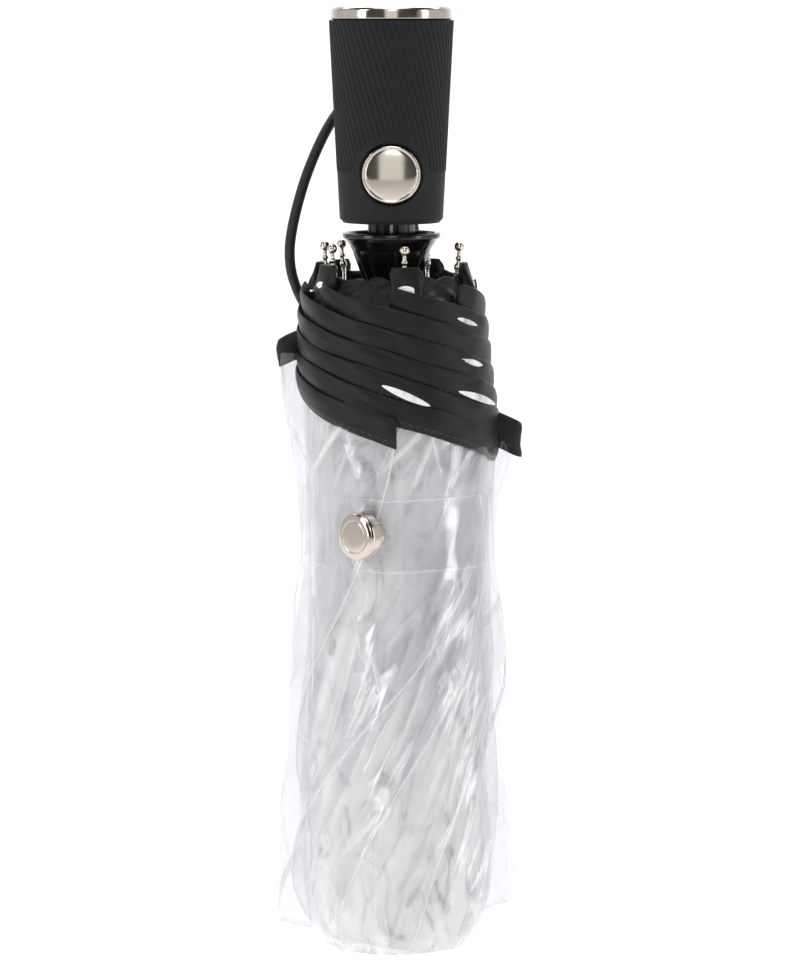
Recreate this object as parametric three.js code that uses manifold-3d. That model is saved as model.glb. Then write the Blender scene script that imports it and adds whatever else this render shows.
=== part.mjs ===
// A folded, handle-up compact automatic umbrella with a clear film canopy, in millimetres, +Z up.
// The origin is on the shaft's axis, on the flat face of the cap that closes the handle, so the
// whole umbrella hangs below it: grip, tip cup, bound canopy edge, strap, clear film, crown.
// Front is -Y. Each rib set is drawn in its own turned group, in which +X points outwards, and it
// uses three lanes side by side, so that its links pass each other as the frame opens.
import * as THREE from 'three';
import { mergeVertices } from 'three/addons/utils/BufferGeometryUtils.js';
import Module from 'manifold-3d';

const wasm = await Module();
wasm.setup();

// ---- clearances
const GAP = 0.3; // between neighbouring pieces that stay still
const SLIDE_GAP = 0.25; // between telescoping tubes, and a pin and its eye

// ---- handle
const CAP_RADIUS = 18.3;
const CAP_HEIGHT = 3.8;
const CAP_EDGE = 1.0; // rounding of the cap's top edge
const SPIGOT_RADIUS = 10;
const SPIGOT_DEPTH = 3;
const GRIP_TOP_RADIUS = 18.8;
const GRIP_BOTTOM_RADIUS = 15.7;
const GRIP_LENGTH = 60.5;
const GRIP_WALL = 2.4;
const GRIP_EDGE = 0.9; // rounding of the sleeve's lower edge
const NECK_RADIUS = 7.2;
const NECK_PANELS = 12;
const NECK_GROOVE = 0.5;
const NECK_VISIBLE = 3.1; // from the grip down to the cup's rim
const BUTTON_RADIUS = 8.7;
const BUTTON_DROP = 49.6; // below the origin
const BUTTON_DEPTH = 4.2;
const BUTTON_DOME = 0.9;
const BUTTON_PROUD = 0.6; // of its edge, in front of the grip's surface
const BUTTON_TRAVEL = 1.5;
const BOSS_RADIUS = 10.6; // flat seat round the button
const SPRING_RADIUS = 2.6;
const SPRING_WIRE = 0.2;
const SPRING_TURNS = 3;
const CORD_RADIUS = 1.6;
const CORD_HOLE_DEPTH = 3.4;

// ---- tip cup
const CUP_RIM_RADIUS = 14.85;
const CUP_FOOT_RADIUS = 8.6;
const CUP_HEIGHT = 14.6;
const CUP_RIM_HEIGHT = 1.5;
const CUP_DISH = 1.9;

// ---- shaft, thickest tube at the handle
const TUBE_WALL = 0.5;
const LOWER_TUBE_RADIUS = 5.5;
const LOWER_TUBE_TOP = -8;
const TUBE_ABOVE_CROWN = 12; // from the lower tube's end down to the crown
const TUBE_STAGGER_TOP = 7; // each inner tube starts this much lower
const TUBE_STAGGER_END = 7; // and ends this much lower
const DRIVE_SPRING_CLEAR = 0.8; // inside its tube
const DRIVE_SPRING_WIRE = 0.4;
const DRIVE_SPRING_TURNS = 12;

// ---- rib frame
const RIB_COUNT = 7;
const RIB_PHASE = -79; // degrees, azimuth of the first rib set
const RIB_PIVOT_RADIUS = 9.4;
const TOP_RIB_LENGTH = 160;
const KNEE_RISE = 20; // the folded knees stand this much above the crown's pivots
const STRETCHER_LENGTH = 100;
const STRETCHER_PIN = 70; // along the top rib, from the crown
const ELBOW_STEP = 1.5; // the first elbow stands this much further out than the crown's pivot
const KNEE_STEP = 3; // and the second this much further again
const LANE_WIDTH = 2.6; // of the top and outer ribs, in the middle lane
const SIDE_LANE_WIDTH = 2.2; // of the middle ribs and stretchers, beside it
const LANE_GAP = 0.55;
const EYE_RADIUS = 1.75;
const RIB_WAIST = 1.15; // half the depth of a rib between its eyes
const PIN_RADIUS = 0.8;
const WIRE_RADIUS = 1.0;
const WIRE_STRAIGHT = 60; // length of the wire above the knee that doesn't lean sideways
const WIRE_BOW = 0.6; // how far the wire's bend stands outside a straight line
const TIP_BELOW_RIM = 4.3; // from the cup's rim down to the tips' middles
const TIP_RADIUS = 20.5;
const TIP_BALL = 1.5;
const TIP_STEM = 0.85;
const TIP_COLLAR_DROP = 5.2; // from the ball's centre to the collar's top
const TIP_COLLAR_HEIGHT = 1.3;
// where each rib's tip comes to rest round the cup, in degrees
const TIP_AZIMUTHS = [-79, 0, 58, 80, 138, 170, -150];

// ---- runner and crown
const RUNNER_BELOW_CUP = 1.7;
const RUNNER_LENGTH = 24;
const RUNNER_RADIUS = 7.2;
const FLANGE_RIM = 1.6; // of a flange outside its ring of pivots
const FLANGE_HALF = 4;
const CROWN_HUB_RADIUS = 6.6;
const CROWN_HUB_HEIGHT = 6;
const CROWN_HALF = 6;
const FERRULE_RADIUS = 8.4;
const FERRULE_END_RADIUS = 6.6;
const FERRULE_HEIGHT = 8;

// ---- folded canopy
const HEM_BELOW_CUP = 0.7;
const HEM_HEIGHT = 54;
const FILM_BELOW_CROWN = 11.5;
const HEM_TOP_RADIUS = 26.6;
const HEM_RADIUS = 29.4;
const WAIST_RADIUS = 28.7;
const SKIRT_RADIUS = 36.4;
const FILM_STEPS = 6; // facets across one panel
const FILM_CLEAR_OF_WIRE = 0.5;
const FILM_CLEAR_OF_CROWN = 1.05;

// ---- strap and snap
const STRAP_BELOW_HEM = 8.3;
const STRAP_WIDTH = 22;
const STRAP_THICKNESS = 0.5;
const STRAP_CLEAR = 0.5;
const STRAP_END_AZIMUTH = 218; // degrees, where the strap is welded to its panel
const SNAP_AZIMUTH = -132; // degrees, the way the cap faces
const SNAP_SEAT = [-7.7, -27.6]; // plan position of the middle of the cap's back
const SNAP_CAP_RADIUS = 7.15;
const SNAP_CAP_HEIGHT = 5.3;
const SNAP_SOCKET_RADIUS = 5.2;
const SNAP_SOCKET_HEIGHT = 1.6;
const SNAP_POST_RADIUS = 1.6;

// ---- sizes that follow
const GRIP_TOP = -CAP_HEIGHT - GAP;
const GRIP_END = GRIP_TOP - GRIP_LENGTH;
const CUP_TOP = GRIP_END - NECK_VISIBLE;
const CUP_END = CUP_TOP - CUP_HEIGHT;
const TIP_Z = CUP_TOP - TIP_BELOW_RIM;
const RUNNER_TOP = CUP_END - RUNNER_BELOW_CUP;
const RUNNER_END = RUNNER_TOP - RUNNER_LENGTH;
const RUNNER_PIVOT_Z = RUNNER_END + FLANGE_HALF;
const CROWN_PIVOT_Z = RUNNER_PIVOT_Z - STRETCHER_LENGTH - STRETCHER_PIN;
const ELBOW_Z = CROWN_PIVOT_Z + TOP_RIB_LENGTH;
const KNEE_Z = CROWN_PIVOT_Z + KNEE_RISE;
const ELBOW_RADIUS = RIB_PIVOT_RADIUS + ELBOW_STEP;
const KNEE_RADIUS = ELBOW_RADIUS + KNEE_STEP;
const FLANGE_RADIUS = RIB_PIVOT_RADIUS + FLANGE_RIM;
const SHAFT_BORE = LOWER_TUBE_RADIUS + GAP;
const MIDDLE_TUBE_RADIUS = LOWER_TUBE_RADIUS - TUBE_WALL - SLIDE_GAP;
const UPPER_TUBE_RADIUS = MIDDLE_TUBE_RADIUS - TUBE_WALL - SLIDE_GAP;
const CROWN_TOP = CROWN_PIVOT_Z + CROWN_HALF + CROWN_HUB_HEIGHT;
const CROWN_END = CROWN_PIVOT_Z - CROWN_HALF;
const LOWER_TUBE_END = CROWN_TOP + TUBE_ABOVE_CROWN;
const UPPER_TUBE_END = CROWN_PIVOT_Z + 2;
const DRIVE_SPRING_RADIUS = UPPER_TUBE_RADIUS - TUBE_WALL - DRIVE_SPRING_WIRE - DRIVE_SPRING_CLEAR;
const HEM_TOP = CUP_END - HEM_BELOW_CUP;
const HEM_END = HEM_TOP - HEM_HEIGHT;
const FILM_END = CROWN_END - FILM_BELOW_CROWN;
const STRAP_TOP = HEM_END - STRAP_BELOW_HEM;
const SIDE_LANE = LANE_WIDTH / 2 + LANE_GAP + SIDE_LANE_WIDTH / 2;
const RIB_STEP = 360 / RIB_COUNT;

const group = new THREE.Group();
const radians = THREE.MathUtils.degToRad;

// ---- materials
function material(color, roughness, metalness) {
  return new THREE.MeshStandardMaterial({ color, roughness, metalness });
}

const paint = {
  cap: () => material(0xd9cbb4, 0.12, 1),
  rubber: () => material(0x2b2b2e, 0.75, 0),
  blackPlastic: () => material(0x141416, 0.3, 0),
  cord: () => material(0x1c1c1f, 0.8, 0),
  steel: () => material(0xc9cbcd, 0.25, 1),
  rib: () => material(0xd8dadb, 0.4, 0.6),
  whitePlastic: () => material(0xe9ebec, 0.35, 0),
  hem: () => material(0x232326, 0.7, 0),
  film: () => material(0xe6eaee, 0.1, 0),
};

// ---- solids
// A geometry with only positions, its shared vertices merged and its faces turned outwards.
function tidied(geometry) {
  const bare = geometry.index ? geometry.toNonIndexed() : geometry.clone();
  bare.deleteAttribute('normal');
  bare.deleteAttribute('uv');
  const merged = mergeVertices(bare, 1e-4);
  const p = merged.attributes.position.array;
  const index = Array.from(merged.index.array);
  const faces = [];
  let volume = 0;
  for (let i = 0; i < index.length; i += 3) {
    const [a, b, c] = index.slice(i, i + 3);
    if (a === b || b === c || c === a) continue;
    faces.push(a, b, c);
    volume += signedVolume(p, a, b, c);
  }
  if (volume < 0) faces.reverse();
  merged.setIndex(faces);
  return merged;
}

function signedVolume(p, a, b, c) {
  const u = new THREE.Vector3().fromArray(p, 3 * a);
  const v = new THREE.Vector3().fromArray(p, 3 * b);
  const w = new THREE.Vector3().fromArray(p, 3 * c);
  return u.dot(v.cross(w)) / 6;
}

function solidOf(geometry) {
  const tidy = tidied(geometry);
  return new wasm.Manifold(new wasm.Mesh({
    numProp: 3,
    vertProperties: new Float32Array(tidy.attributes.position.array),
    triVerts: new Uint32Array(tidy.index.array),
  }));
}

function geometryOf(solid) {
  const mesh = solid.getMesh();
  const geometry = new THREE.BufferGeometry();
  geometry.setAttribute('position', new THREE.BufferAttribute(mesh.vertProperties, 3));
  geometry.setIndex(new THREE.BufferAttribute(mesh.triVerts, 1));
  return geometry;
}

function joined(first, ...others) {
  return geometryOf(others.reduce((sum, g) => sum.add(solidOf(g)), solidOf(first)));
}

function cut(first, ...tools) {
  return geometryOf(tools.reduce((rest, g) => rest.subtract(solidOf(g)), solidOf(first)));
}

function common(first, second) {
  return geometryOf(solidOf(first).intersect(solidOf(second)));
}

// A profile of [radius, z] points turned about the Z axis. A ring's profile repeats its first point.
function turned(profile, segments) {
  const points = profile.map(([r, z]) => new THREE.Vector2(r, z));
  return new THREE.LatheGeometry(points, segments).rotateX(Math.PI / 2);
}

function ring(profile, segments) {
  return turned([...profile, profile[0]], segments);
}

function tube(radius, wall, top, end, segments) {
  const inner = radius - wall;
  return ring([[inner, end], [radius, end], [radius, top], [inner, top]], segments);
}

// A straight rod between two points.
function rod(radius, from, to, sides) {
  const a = new THREE.Vector3(...from);
  const b = new THREE.Vector3(...to);
  const along = b.clone().sub(a);
  const shape = new THREE.CylinderGeometry(radius, radius, along.length(), sides);
  const turn = new THREE.Quaternion().setFromUnitVectors(
    new THREE.Vector3(0, 1, 0),
    along.clone().normalize(),
  );
  const middle = a.add(b).multiplyScalar(0.5);
  return shape.applyQuaternion(turn).translate(middle.x, middle.y, middle.z);
}

// A block from its lowest to its highest corner.
function block(low, high) {
  const size = high.map((v, i) => v - low[i]);
  const middle = high.map((v, i) => (v + low[i]) / 2);
  return new THREE.BoxGeometry(...size).translate(...middle);
}

// A round section of so many sides carried along a curve.
function carried(curve, radius, sides, steps) {
  const section = new THREE.Shape();
  for (let i = 0; i < sides; i += 1) {
    const turn = (2 * Math.PI * i) / sides;
    const at = [radius * Math.cos(turn), radius * Math.sin(turn)];
    if (i) section.lineTo(...at);
    else section.moveTo(...at);
  }
  return new THREE.ExtrudeGeometry(section, { steps, extrudePath: curve, bevelEnabled: false });
}

class Helix extends THREE.Curve {
  constructor(radius, turns, low, high) {
    super();
    Object.assign(this, { radius, turns, low, high });
  }

  getPoint(t, target = new THREE.Vector3()) {
    const turn = 2 * Math.PI * this.turns * t;
    const z = this.low + (this.high - this.low) * t;
    return target.set(this.radius * Math.cos(turn), this.radius * Math.sin(turn), z);
  }
}

function coilSpring(radius, wire, turns, low, high) {
  const stepsPerTurn = 7;
  return carried(new Helix(radius, turns, low, high), wire, 4, turns * stepsPerTurn);
}

// A flat link in the X-Z plane with a round eye at each end and a narrower waist between them.
// Ends are [x, z]; holed says which ends are drilled for a pin.
function link(from, to, lane, width, holed) {
  const a = new THREE.Vector2(...from);
  const b = new THREE.Vector2(...to);
  const along = b.clone().sub(a).normalize();
  const heading = along.angle();
  const side = new THREE.Vector2(-along.y, along.x);
  const half = Math.asin(RIB_WAIST / EYE_RADIUS);
  const corner = (centre, sign) => centre.clone().addScaledVector(side, sign * RIB_WAIST)
    .addScaledVector(along, centre === a ? EYE_RADIUS * Math.cos(half) : -EYE_RADIUS * Math.cos(half));
  const shape = new THREE.Shape();
  const start = corner(a, -1);
  shape.moveTo(start.x, start.y);
  const first = corner(b, -1);
  shape.lineTo(first.x, first.y);
  shape.absarc(b.x, b.y, EYE_RADIUS, heading + Math.PI + half, heading + Math.PI - half, false);
  const second = corner(a, 1);
  shape.lineTo(second.x, second.y);
  shape.absarc(a.x, a.y, EYE_RADIUS, heading + half, heading - half, false);
  [a, b].forEach((centre, i) => {
    if (!holed[i]) return;
    const hole = new THREE.Path();
    hole.absarc(centre.x, centre.y, PIN_RADIUS + SLIDE_GAP, 0, 2 * Math.PI, true);
    shape.holes.push(hole);
  });
  const flat = new THREE.ExtrudeGeometry(shape, {
    depth: width,
    bevelEnabled: false,
    curveSegments: 5,
  });
  // the drawing's Y becomes Z, and its depth runs along -Y
  return flat.rotateX(Math.PI / 2).translate(0, lane + width / 2, 0);
}

function pin(x, z, fromLane, toLane) {
  return rod(PIN_RADIUS, [x, fromLane, z], [x, toLane, z], 8);
}

function add(name, geometry, paintwork, parent = group) {
  const mesh = new THREE.Mesh(tidied(geometry), paintwork());
  mesh.name = name;
  parent.add(mesh);
  return mesh;
}

// ---- handle
// The grip's outer radius at a height between its top and its lower end.
function gripRadius(z) {
  const share = (GRIP_TOP - z) / GRIP_LENGTH;
  return GRIP_TOP_RADIUS + (GRIP_BOTTOM_RADIUS - GRIP_TOP_RADIUS) * share;
}

function buttonSeatY() {
  return -gripRadius(-BUTTON_DROP) + BUTTON_PROUD;
}

function acrossFront(radius, yFrom, yTo, sides) {
  return rod(radius, [0, yFrom, -BUTTON_DROP], [0, yTo, -BUTTON_DROP], sides);
}

function endCap() {
  const edge = [];
  const steps = 3;
  for (let i = 0; i <= steps; i += 1) {
    const turn = (Math.PI / 2 / steps) * i;
    edge.push([
      CAP_RADIUS - CAP_EDGE + CAP_EDGE * Math.cos(turn),
      -CAP_EDGE + CAP_EDGE * Math.sin(turn),
    ]);
  }
  const under = -CAP_HEIGHT;
  return turned([
    [0, under - SPIGOT_DEPTH],
    [SPIGOT_RADIUS, under - SPIGOT_DEPTH],
    [SPIGOT_RADIUS, under],
    [CAP_RADIUS, under],
    ...edge,
    [0, 0],
  ], 36);
}

function cordHoles(depthTo) {
  return [-1, 1].map((side) => rod(
    CORD_RADIUS + GAP,
    [side * CORD_EXIT_X, GRIP_TOP_RADIUS + 2, CORD_EXIT_Z],
    [side * CORD_EXIT_X, depthTo, CORD_EXIT_Z],
    10,
  ));
}

function gripSleeve() {
  const topInner = GRIP_TOP_RADIUS - GRIP_WALL;
  const endInner = GRIP_BOTTOM_RADIUS - GRIP_WALL;
  const shell = ring([
    [endInner, GRIP_END],
    [GRIP_BOTTOM_RADIUS - GRIP_EDGE, GRIP_END],
    [gripRadius(GRIP_END + GRIP_EDGE), GRIP_END + GRIP_EDGE],
    [GRIP_TOP_RADIUS, GRIP_TOP],
    [topInner, GRIP_TOP],
  ], 36);
  const seat = buttonSeatY();
  const boss = acrossFront(BOSS_RADIUS, seat, seat + GRIP_WALL + 2, 28);
  const inside = ring([
    [0.5, GRIP_END - 1],
    [endInner, GRIP_END - 1],
    [topInner, GRIP_TOP + 1],
    [0.5, GRIP_TOP + 1],
  ], 36);
  const hole = acrossFront(BUTTON_RADIUS + GAP, -GRIP_TOP_RADIUS - 4, -4, 28);
  return cut(joined(shell, cut(boss, inside)), hole, ...cordHoles(GRIP_TOP_RADIUS - GRIP_WALL - 4));
}

function neck() {
  const shape = new THREE.Shape();
  const corners = NECK_PANELS * 4;
  for (let i = 0; i < corners; i += 1) {
    const turn = (2 * Math.PI * (i + 0.5)) / corners;
    const r = i % 4 === 3 ? NECK_RADIUS - NECK_GROOVE : NECK_RADIUS;
    const at = [r * Math.cos(turn), r * Math.sin(turn)];
    if (i) shape.lineTo(...at);
    else shape.moveTo(...at);
  }
  const height = NECK_VISIBLE + CUP_DISH - GAP;
  const solid = new THREE.ExtrudeGeometry(shape, { depth: height + 1, bevelEnabled: false });
  return solid.translate(0, 0, GRIP_END - height);
}

function handleCore() {
  const fit = GRIP_WALL + GAP;
  const recess = SPIGOT_RADIUS + GAP;
  const recessFloor = -CAP_HEIGHT - SPIGOT_DEPTH - GAP;
  const body = turned([
    [0, GRIP_END],
    [GRIP_BOTTOM_RADIUS - fit, GRIP_END],
    [GRIP_TOP_RADIUS - fit, GRIP_TOP],
    [recess, GRIP_TOP],
    [recess, recessFloor],
    [0, recessFloor],
  ], 30);
  const bore = rod(SHAFT_BORE, [0, 0, 1], [0, 0, CUP_END], 20);
  const pocket = acrossFront(BUTTON_RADIUS + GAP, -GRIP_TOP_RADIUS, springSeatY(), 28);
  const depth = GRIP_TOP_RADIUS - fit - CORD_HOLE_DEPTH;
  return cut(joined(body, neck()), bore, pocket, ...cordHoles(depth));
}

// The button's back rests on the spring, and the spring on the floor of the core's pocket.
function buttonBackY() {
  return buttonSeatY() - BUTTON_PROUD + BUTTON_DEPTH;
}

function springSeatY() {
  return buttonBackY() + BUTTON_TRAVEL + 1.6;
}

function pushButton() {
  const front = [];
  const steps = 5;
  for (let i = 0; i <= steps; i += 1) {
    const share = 1 - i / steps;
    const r = (BUTTON_RADIUS - 0.5) * share;
    front.push([r, BUTTON_DEPTH + BUTTON_DOME * (1 - share * share)]);
  }
  const solid = turned([
    [0, 0],
    [BUTTON_RADIUS, 0],
    [BUTTON_RADIUS, BUTTON_DEPTH - 0.4],
    ...front,
  ], 28);
  // turned about Z with its face up, then tipped so that the face looks to the front
  return solid.rotateX(Math.PI / 2).translate(0, buttonBackY(), -BUTTON_DROP);
}

function buttonSpring() {
  const low = SPRING_WIRE + GAP;
  const high = springSeatY() - buttonBackY() - SPRING_WIRE - GAP;
  const coil = coilSpring(SPRING_RADIUS, SPRING_WIRE, SPRING_TURNS, low, high);
  return coil.rotateX(-Math.PI / 2).translate(0, buttonBackY(), -BUTTON_DROP);
}

// ---- wrist cord: a loop from the back of the handle, round the left and behind the canopy
const CORD_EXIT_X = 3.2;
const CORD_EXIT_Z = -22;
const CORD_ROUTE = [
  [-3.2, 15.2, -22], [-3.2, 18.6, -22], [-4.2, 22.2, -22.7], [-7.2, 24.7, -24.4],
  [-11.4, 24.6, -27.2], [-15.4, 21.8, -30.9], [-19, 18, -36], [-22.6, 14.4, -43],
  [-26.3, 11.4, -52.3], [-29.2, 9.6, -62.4], [-30.9, 9.2, -71.6], [-30.8, 11, -79.2],
  [-29.2, 14.4, -85.6], [-26.6, 18.6, -91.4], [-22.8, 23.2, -97.6], [-17.6, 27.4, -104.4],
  [-11, 30.4, -110.4], [-3.6, 32, -114], [3, 32.2, -113.6], [8, 31.6, -109.4],
  [10.4, 30.6, -102.4], [10.4, 29.6, -93.6], [9, 28.6, -83], [7.2, 27.6, -71],
  [5.6, 26.8, -58], [4.4, 26.2, -46], [3.6, 25.8, -36], [3.3, 24.8, -28.8],
  [3.2, 22.2, -23.6], [3.2, 18.6, -22], [3.2, 15.2, -22],
];

function wristCord() {
  const points = CORD_ROUTE.map((p) => new THREE.Vector3(...p));
  return carried(new THREE.CatmullRomCurve3(points), CORD_RADIUS, 8, 52);
}

// ---- cup that the rib tips close round
function tipCup() {
  return ring([
    [SHAFT_BORE, CUP_END],
    [CUP_FOOT_RADIUS, CUP_END],
    [CUP_RIM_RADIUS - 2.6, CUP_TOP - CUP_RIM_HEIGHT - 3.2],
    [CUP_RIM_RADIUS - 0.8, CUP_TOP - CUP_RIM_HEIGHT - 0.5],
    [CUP_RIM_RADIUS, CUP_TOP - CUP_RIM_HEIGHT],
    [CUP_RIM_RADIUS, CUP_TOP],
    [CUP_RIM_RADIUS - 1.1, CUP_TOP],
    [CUP_RIM_RADIUS - 3.2, CUP_TOP - CUP_DISH],
    [SHAFT_BORE, CUP_TOP - CUP_DISH],
  ], 32);
}

// ---- shaft
function lowerTube() {
  return tube(LOWER_TUBE_RADIUS, TUBE_WALL, LOWER_TUBE_TOP, LOWER_TUBE_END, 20);
}

function middleTube() {
  const top = LOWER_TUBE_TOP - TUBE_STAGGER_TOP;
  return tube(MIDDLE_TUBE_RADIUS, TUBE_WALL, top, LOWER_TUBE_END - TUBE_STAGGER_END, 20);
}

function upperTube() {
  const top = LOWER_TUBE_TOP - 2 * TUBE_STAGGER_TOP;
  return tube(UPPER_TUBE_RADIUS, TUBE_WALL, top, UPPER_TUBE_END, 20);
}

function driveSpring() {
  const low = UPPER_TUBE_END + 6;
  const high = LOWER_TUBE_TOP - 2 * TUBE_STAGGER_TOP - 4;
  return coilSpring(DRIVE_SPRING_RADIUS, DRIVE_SPRING_WIRE, DRIVE_SPRING_TURNS, low, high);
}

// One copy of a tool for each rib set, turned into its place.
function roundTheRibs(tool) {
  const copies = [];
  for (let i = 0; i < RIB_COUNT; i += 1) {
    copies.push(tool.clone().rotateZ(radians(RIB_PHASE + i * RIB_STEP)));
  }
  return copies;
}

// The slot in a flange that an eye turns in, and the pin across it.
function flangeSlots(z, lane, width) {
  const half = width / 2 + LANE_GAP / 2 + 0.1;
  const depth = RIB_PIVOT_RADIUS - EYE_RADIUS - GAP;
  return roundTheRibs(block(
    [depth, lane - half, z - 2 * FLANGE_HALF],
    [FLANGE_RADIUS + 3, lane + half, z + 2 * FLANGE_HALF],
  ));
}

function flangePins(z, lane, width) {
  const half = width / 2 + LANE_GAP;
  return roundTheRibs(pin(RIB_PIVOT_RADIUS, z, lane - half - 0.2, lane + half + 0.2));
}

function runner() {
  const body = ring([
    [SHAFT_BORE, RUNNER_END],
    [FLANGE_RADIUS, RUNNER_END],
    [FLANGE_RADIUS, RUNNER_PIVOT_Z + FLANGE_HALF],
    [RUNNER_RADIUS, RUNNER_PIVOT_Z + FLANGE_HALF + 2],
    [RUNNER_RADIUS, RUNNER_TOP],
    [SHAFT_BORE, RUNNER_TOP],
  ], 35);
  const slotted = cut(body, ...flangeSlots(RUNNER_PIVOT_Z, SIDE_LANE, SIDE_LANE_WIDTH));
  return joined(slotted, ...flangePins(RUNNER_PIVOT_Z, SIDE_LANE, SIDE_LANE_WIDTH));
}

function crown() {
  const bore = UPPER_TUBE_RADIUS + GAP;
  const body = ring([
    [bore, CROWN_END],
    [FLANGE_RADIUS, CROWN_END],
    [FLANGE_RADIUS, CROWN_END + 2 * CROWN_HALF],
    [CROWN_HUB_RADIUS, CROWN_END + 2 * CROWN_HALF],
    [CROWN_HUB_RADIUS, CROWN_TOP],
    [bore, CROWN_TOP],
  ], 35);
  const slotted = cut(body, ...flangeSlots(CROWN_PIVOT_Z, 0, LANE_WIDTH));
  return joined(slotted, ...flangePins(CROWN_PIVOT_Z, 0, LANE_WIDTH));
}

function ferrule() {
  const top = CROWN_END - GAP;
  const post = UPPER_TUBE_RADIUS - GAP;
  return turned([
    [0, top - FERRULE_HEIGHT],
    [FERRULE_END_RADIUS - 0.8, top - FERRULE_HEIGHT],
    [FERRULE_END_RADIUS, top - FERRULE_HEIGHT + 0.8],
    [FERRULE_RADIUS, top - 1.6],
    [FERRULE_RADIUS, top],
    [post, top],
    [post, UPPER_TUBE_END - 1],
    [0, UPPER_TUBE_END - 1],
  ], 28);
}

// ---- rib set, drawn with +X outwards
function topRib() {
  const bar = link(
    [RIB_PIVOT_RADIUS, CROWN_PIVOT_Z],
    [ELBOW_RADIUS, ELBOW_Z],
    0,
    LANE_WIDTH,
    [true, false],
  );
  const channel = block(
    [RIB_PIVOT_RADIUS + 0.6, -0.7, CROWN_PIVOT_Z + 6],
    [ELBOW_RADIUS + 3, 0.7, ELBOW_Z - 6],
  );
  const elbowPin = pin(ELBOW_RADIUS, ELBOW_Z, 0, -SIDE_LANE - SIDE_LANE_WIDTH / 2);
  const along = STRETCHER_PIN / TOP_RIB_LENGTH;
  const rivet = rod(
    1.1,
    [RIB_PIVOT_RADIUS + ELBOW_STEP * along, 0, CROWN_PIVOT_Z + STRETCHER_PIN],
    [RIB_PIVOT_RADIUS + ELBOW_STEP * along, LANE_WIDTH / 2 + 0.2, CROWN_PIVOT_Z + STRETCHER_PIN],
    10,
  );
  return joined(cut(bar, channel), elbowPin, rivet);
}

function stretcher() {
  return link(
    [RIB_PIVOT_RADIUS, RUNNER_PIVOT_Z],
    [RIB_PIVOT_RADIUS, RUNNER_PIVOT_Z - STRETCHER_LENGTH],
    SIDE_LANE,
    SIDE_LANE_WIDTH,
    [true, true],
  );
}

function middleRib() {
  return link(
    [ELBOW_RADIUS, ELBOW_Z],
    [KNEE_RADIUS, KNEE_Z],
    -SIDE_LANE,
    SIDE_LANE_WIDTH,
    [true, true],
  );
}

// How far out the outer rib's wire stands at a height.
function wireRadius(z) {
  return KNEE_RADIUS + ((TIP_RADIUS - KNEE_RADIUS) * (z - KNEE_Z)) / (TIP_Z - KNEE_Z);
}

function outerRib(lean) {
  const turn = radians(lean);
  const knee = [KNEE_RADIUS, 0, KNEE_Z];
  const bendZ = KNEE_Z + WIRE_STRAIGHT;
  const bend = new THREE.Vector3(wireRadius(bendZ) + WIRE_BOW, 0, bendZ);
  const tip = new THREE.Vector3(TIP_RADIUS * Math.cos(turn), TIP_RADIUS * Math.sin(turn), TIP_Z);
  const up = tip.clone().sub(bend).normalize();
  const below = (drop) => tip.clone().addScaledVector(up, -drop).toArray();
  const collarEnd = TIP_COLLAR_DROP + TIP_COLLAR_HEIGHT;
  const eye = rod(
    EYE_RADIUS,
    [KNEE_RADIUS, -LANE_WIDTH / 2, KNEE_Z],
    [KNEE_RADIUS, LANE_WIDTH / 2, KNEE_Z],
    10,
  );
  const ball = new THREE.SphereGeometry(TIP_BALL, 8, 6);
  return joined(
    eye,
    pin(KNEE_RADIUS, KNEE_Z, 0, -SIDE_LANE - SIDE_LANE_WIDTH / 2),
    rod(WIRE_RADIUS, knee, bend.toArray(), 6),
    rod(WIRE_RADIUS, bend.toArray(), below(collarEnd - 0.5), 6),
    rod(TIP_BALL, below(collarEnd), below(TIP_COLLAR_DROP), 10),
    rod(TIP_STEM, below(collarEnd - 0.5), tip.toArray(), 6),
    ball.translate(tip.x, tip.y, tip.z),
  );
}

// ---- folded canopy: a ring round the frame, split into one panel for each rib set
// Its inside clears the knees' eyes at the foot and the wires all the way up.
function canopyInner(z) {
  const knee = Math.hypot(KNEE_RADIUS + EYE_RADIUS, SIDE_LANE + SIDE_LANE_WIDTH / 2);
  const extra = knee - KNEE_RADIUS - WIRE_RADIUS;
  const share = THREE.MathUtils.clamp((z - KNEE_Z) / (TIP_Z - KNEE_Z), 0, 1);
  return wireRadius(z) + WIRE_RADIUS + extra * (1 - share) + FILM_CLEAR_OF_WIRE;
}

function hemRing() {
  return ring([
    [canopyInner(HEM_END), HEM_END],
    [HEM_RADIUS, HEM_END],
    [HEM_RADIUS, HEM_END + 16],
    [HEM_TOP_RADIUS, HEM_TOP - 6],
    [HEM_TOP_RADIUS - 2, HEM_TOP],
    [canopyInner(HEM_TOP), HEM_TOP],
  ], RIB_COUNT * FILM_STEPS);
}

function filmRing() {
  const top = HEM_END - GAP;
  const kneeFloor = KNEE_Z - EYE_RADIUS - 6;
  const crownSide = RIB_PIVOT_RADIUS + EYE_RADIUS + FILM_CLEAR_OF_CROWN;
  const span = FILM_END - STRAP_TOP;
  return ring([
    [crownSide, FILM_END + 3],
    [crownSide + 6, FILM_END],
    [SKIRT_RADIUS - 9, FILM_END],
    [SKIRT_RADIUS - 1, FILM_END + 12],
    [SKIRT_RADIUS, FILM_END + 30],
    [SKIRT_RADIUS - 3.6, STRAP_TOP + span * 0.5],
    [WAIST_RADIUS, STRAP_TOP - STRAP_WIDTH - 4],
    [WAIST_RADIUS, STRAP_TOP + 4],
    [HEM_RADIUS, top],
    [canopyInner(top), top],
    [canopyInner(kneeFloor), kneeFloor],
    [crownSide, kneeFloor - 4],
  ], RIB_COUNT * FILM_STEPS);
}

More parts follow.
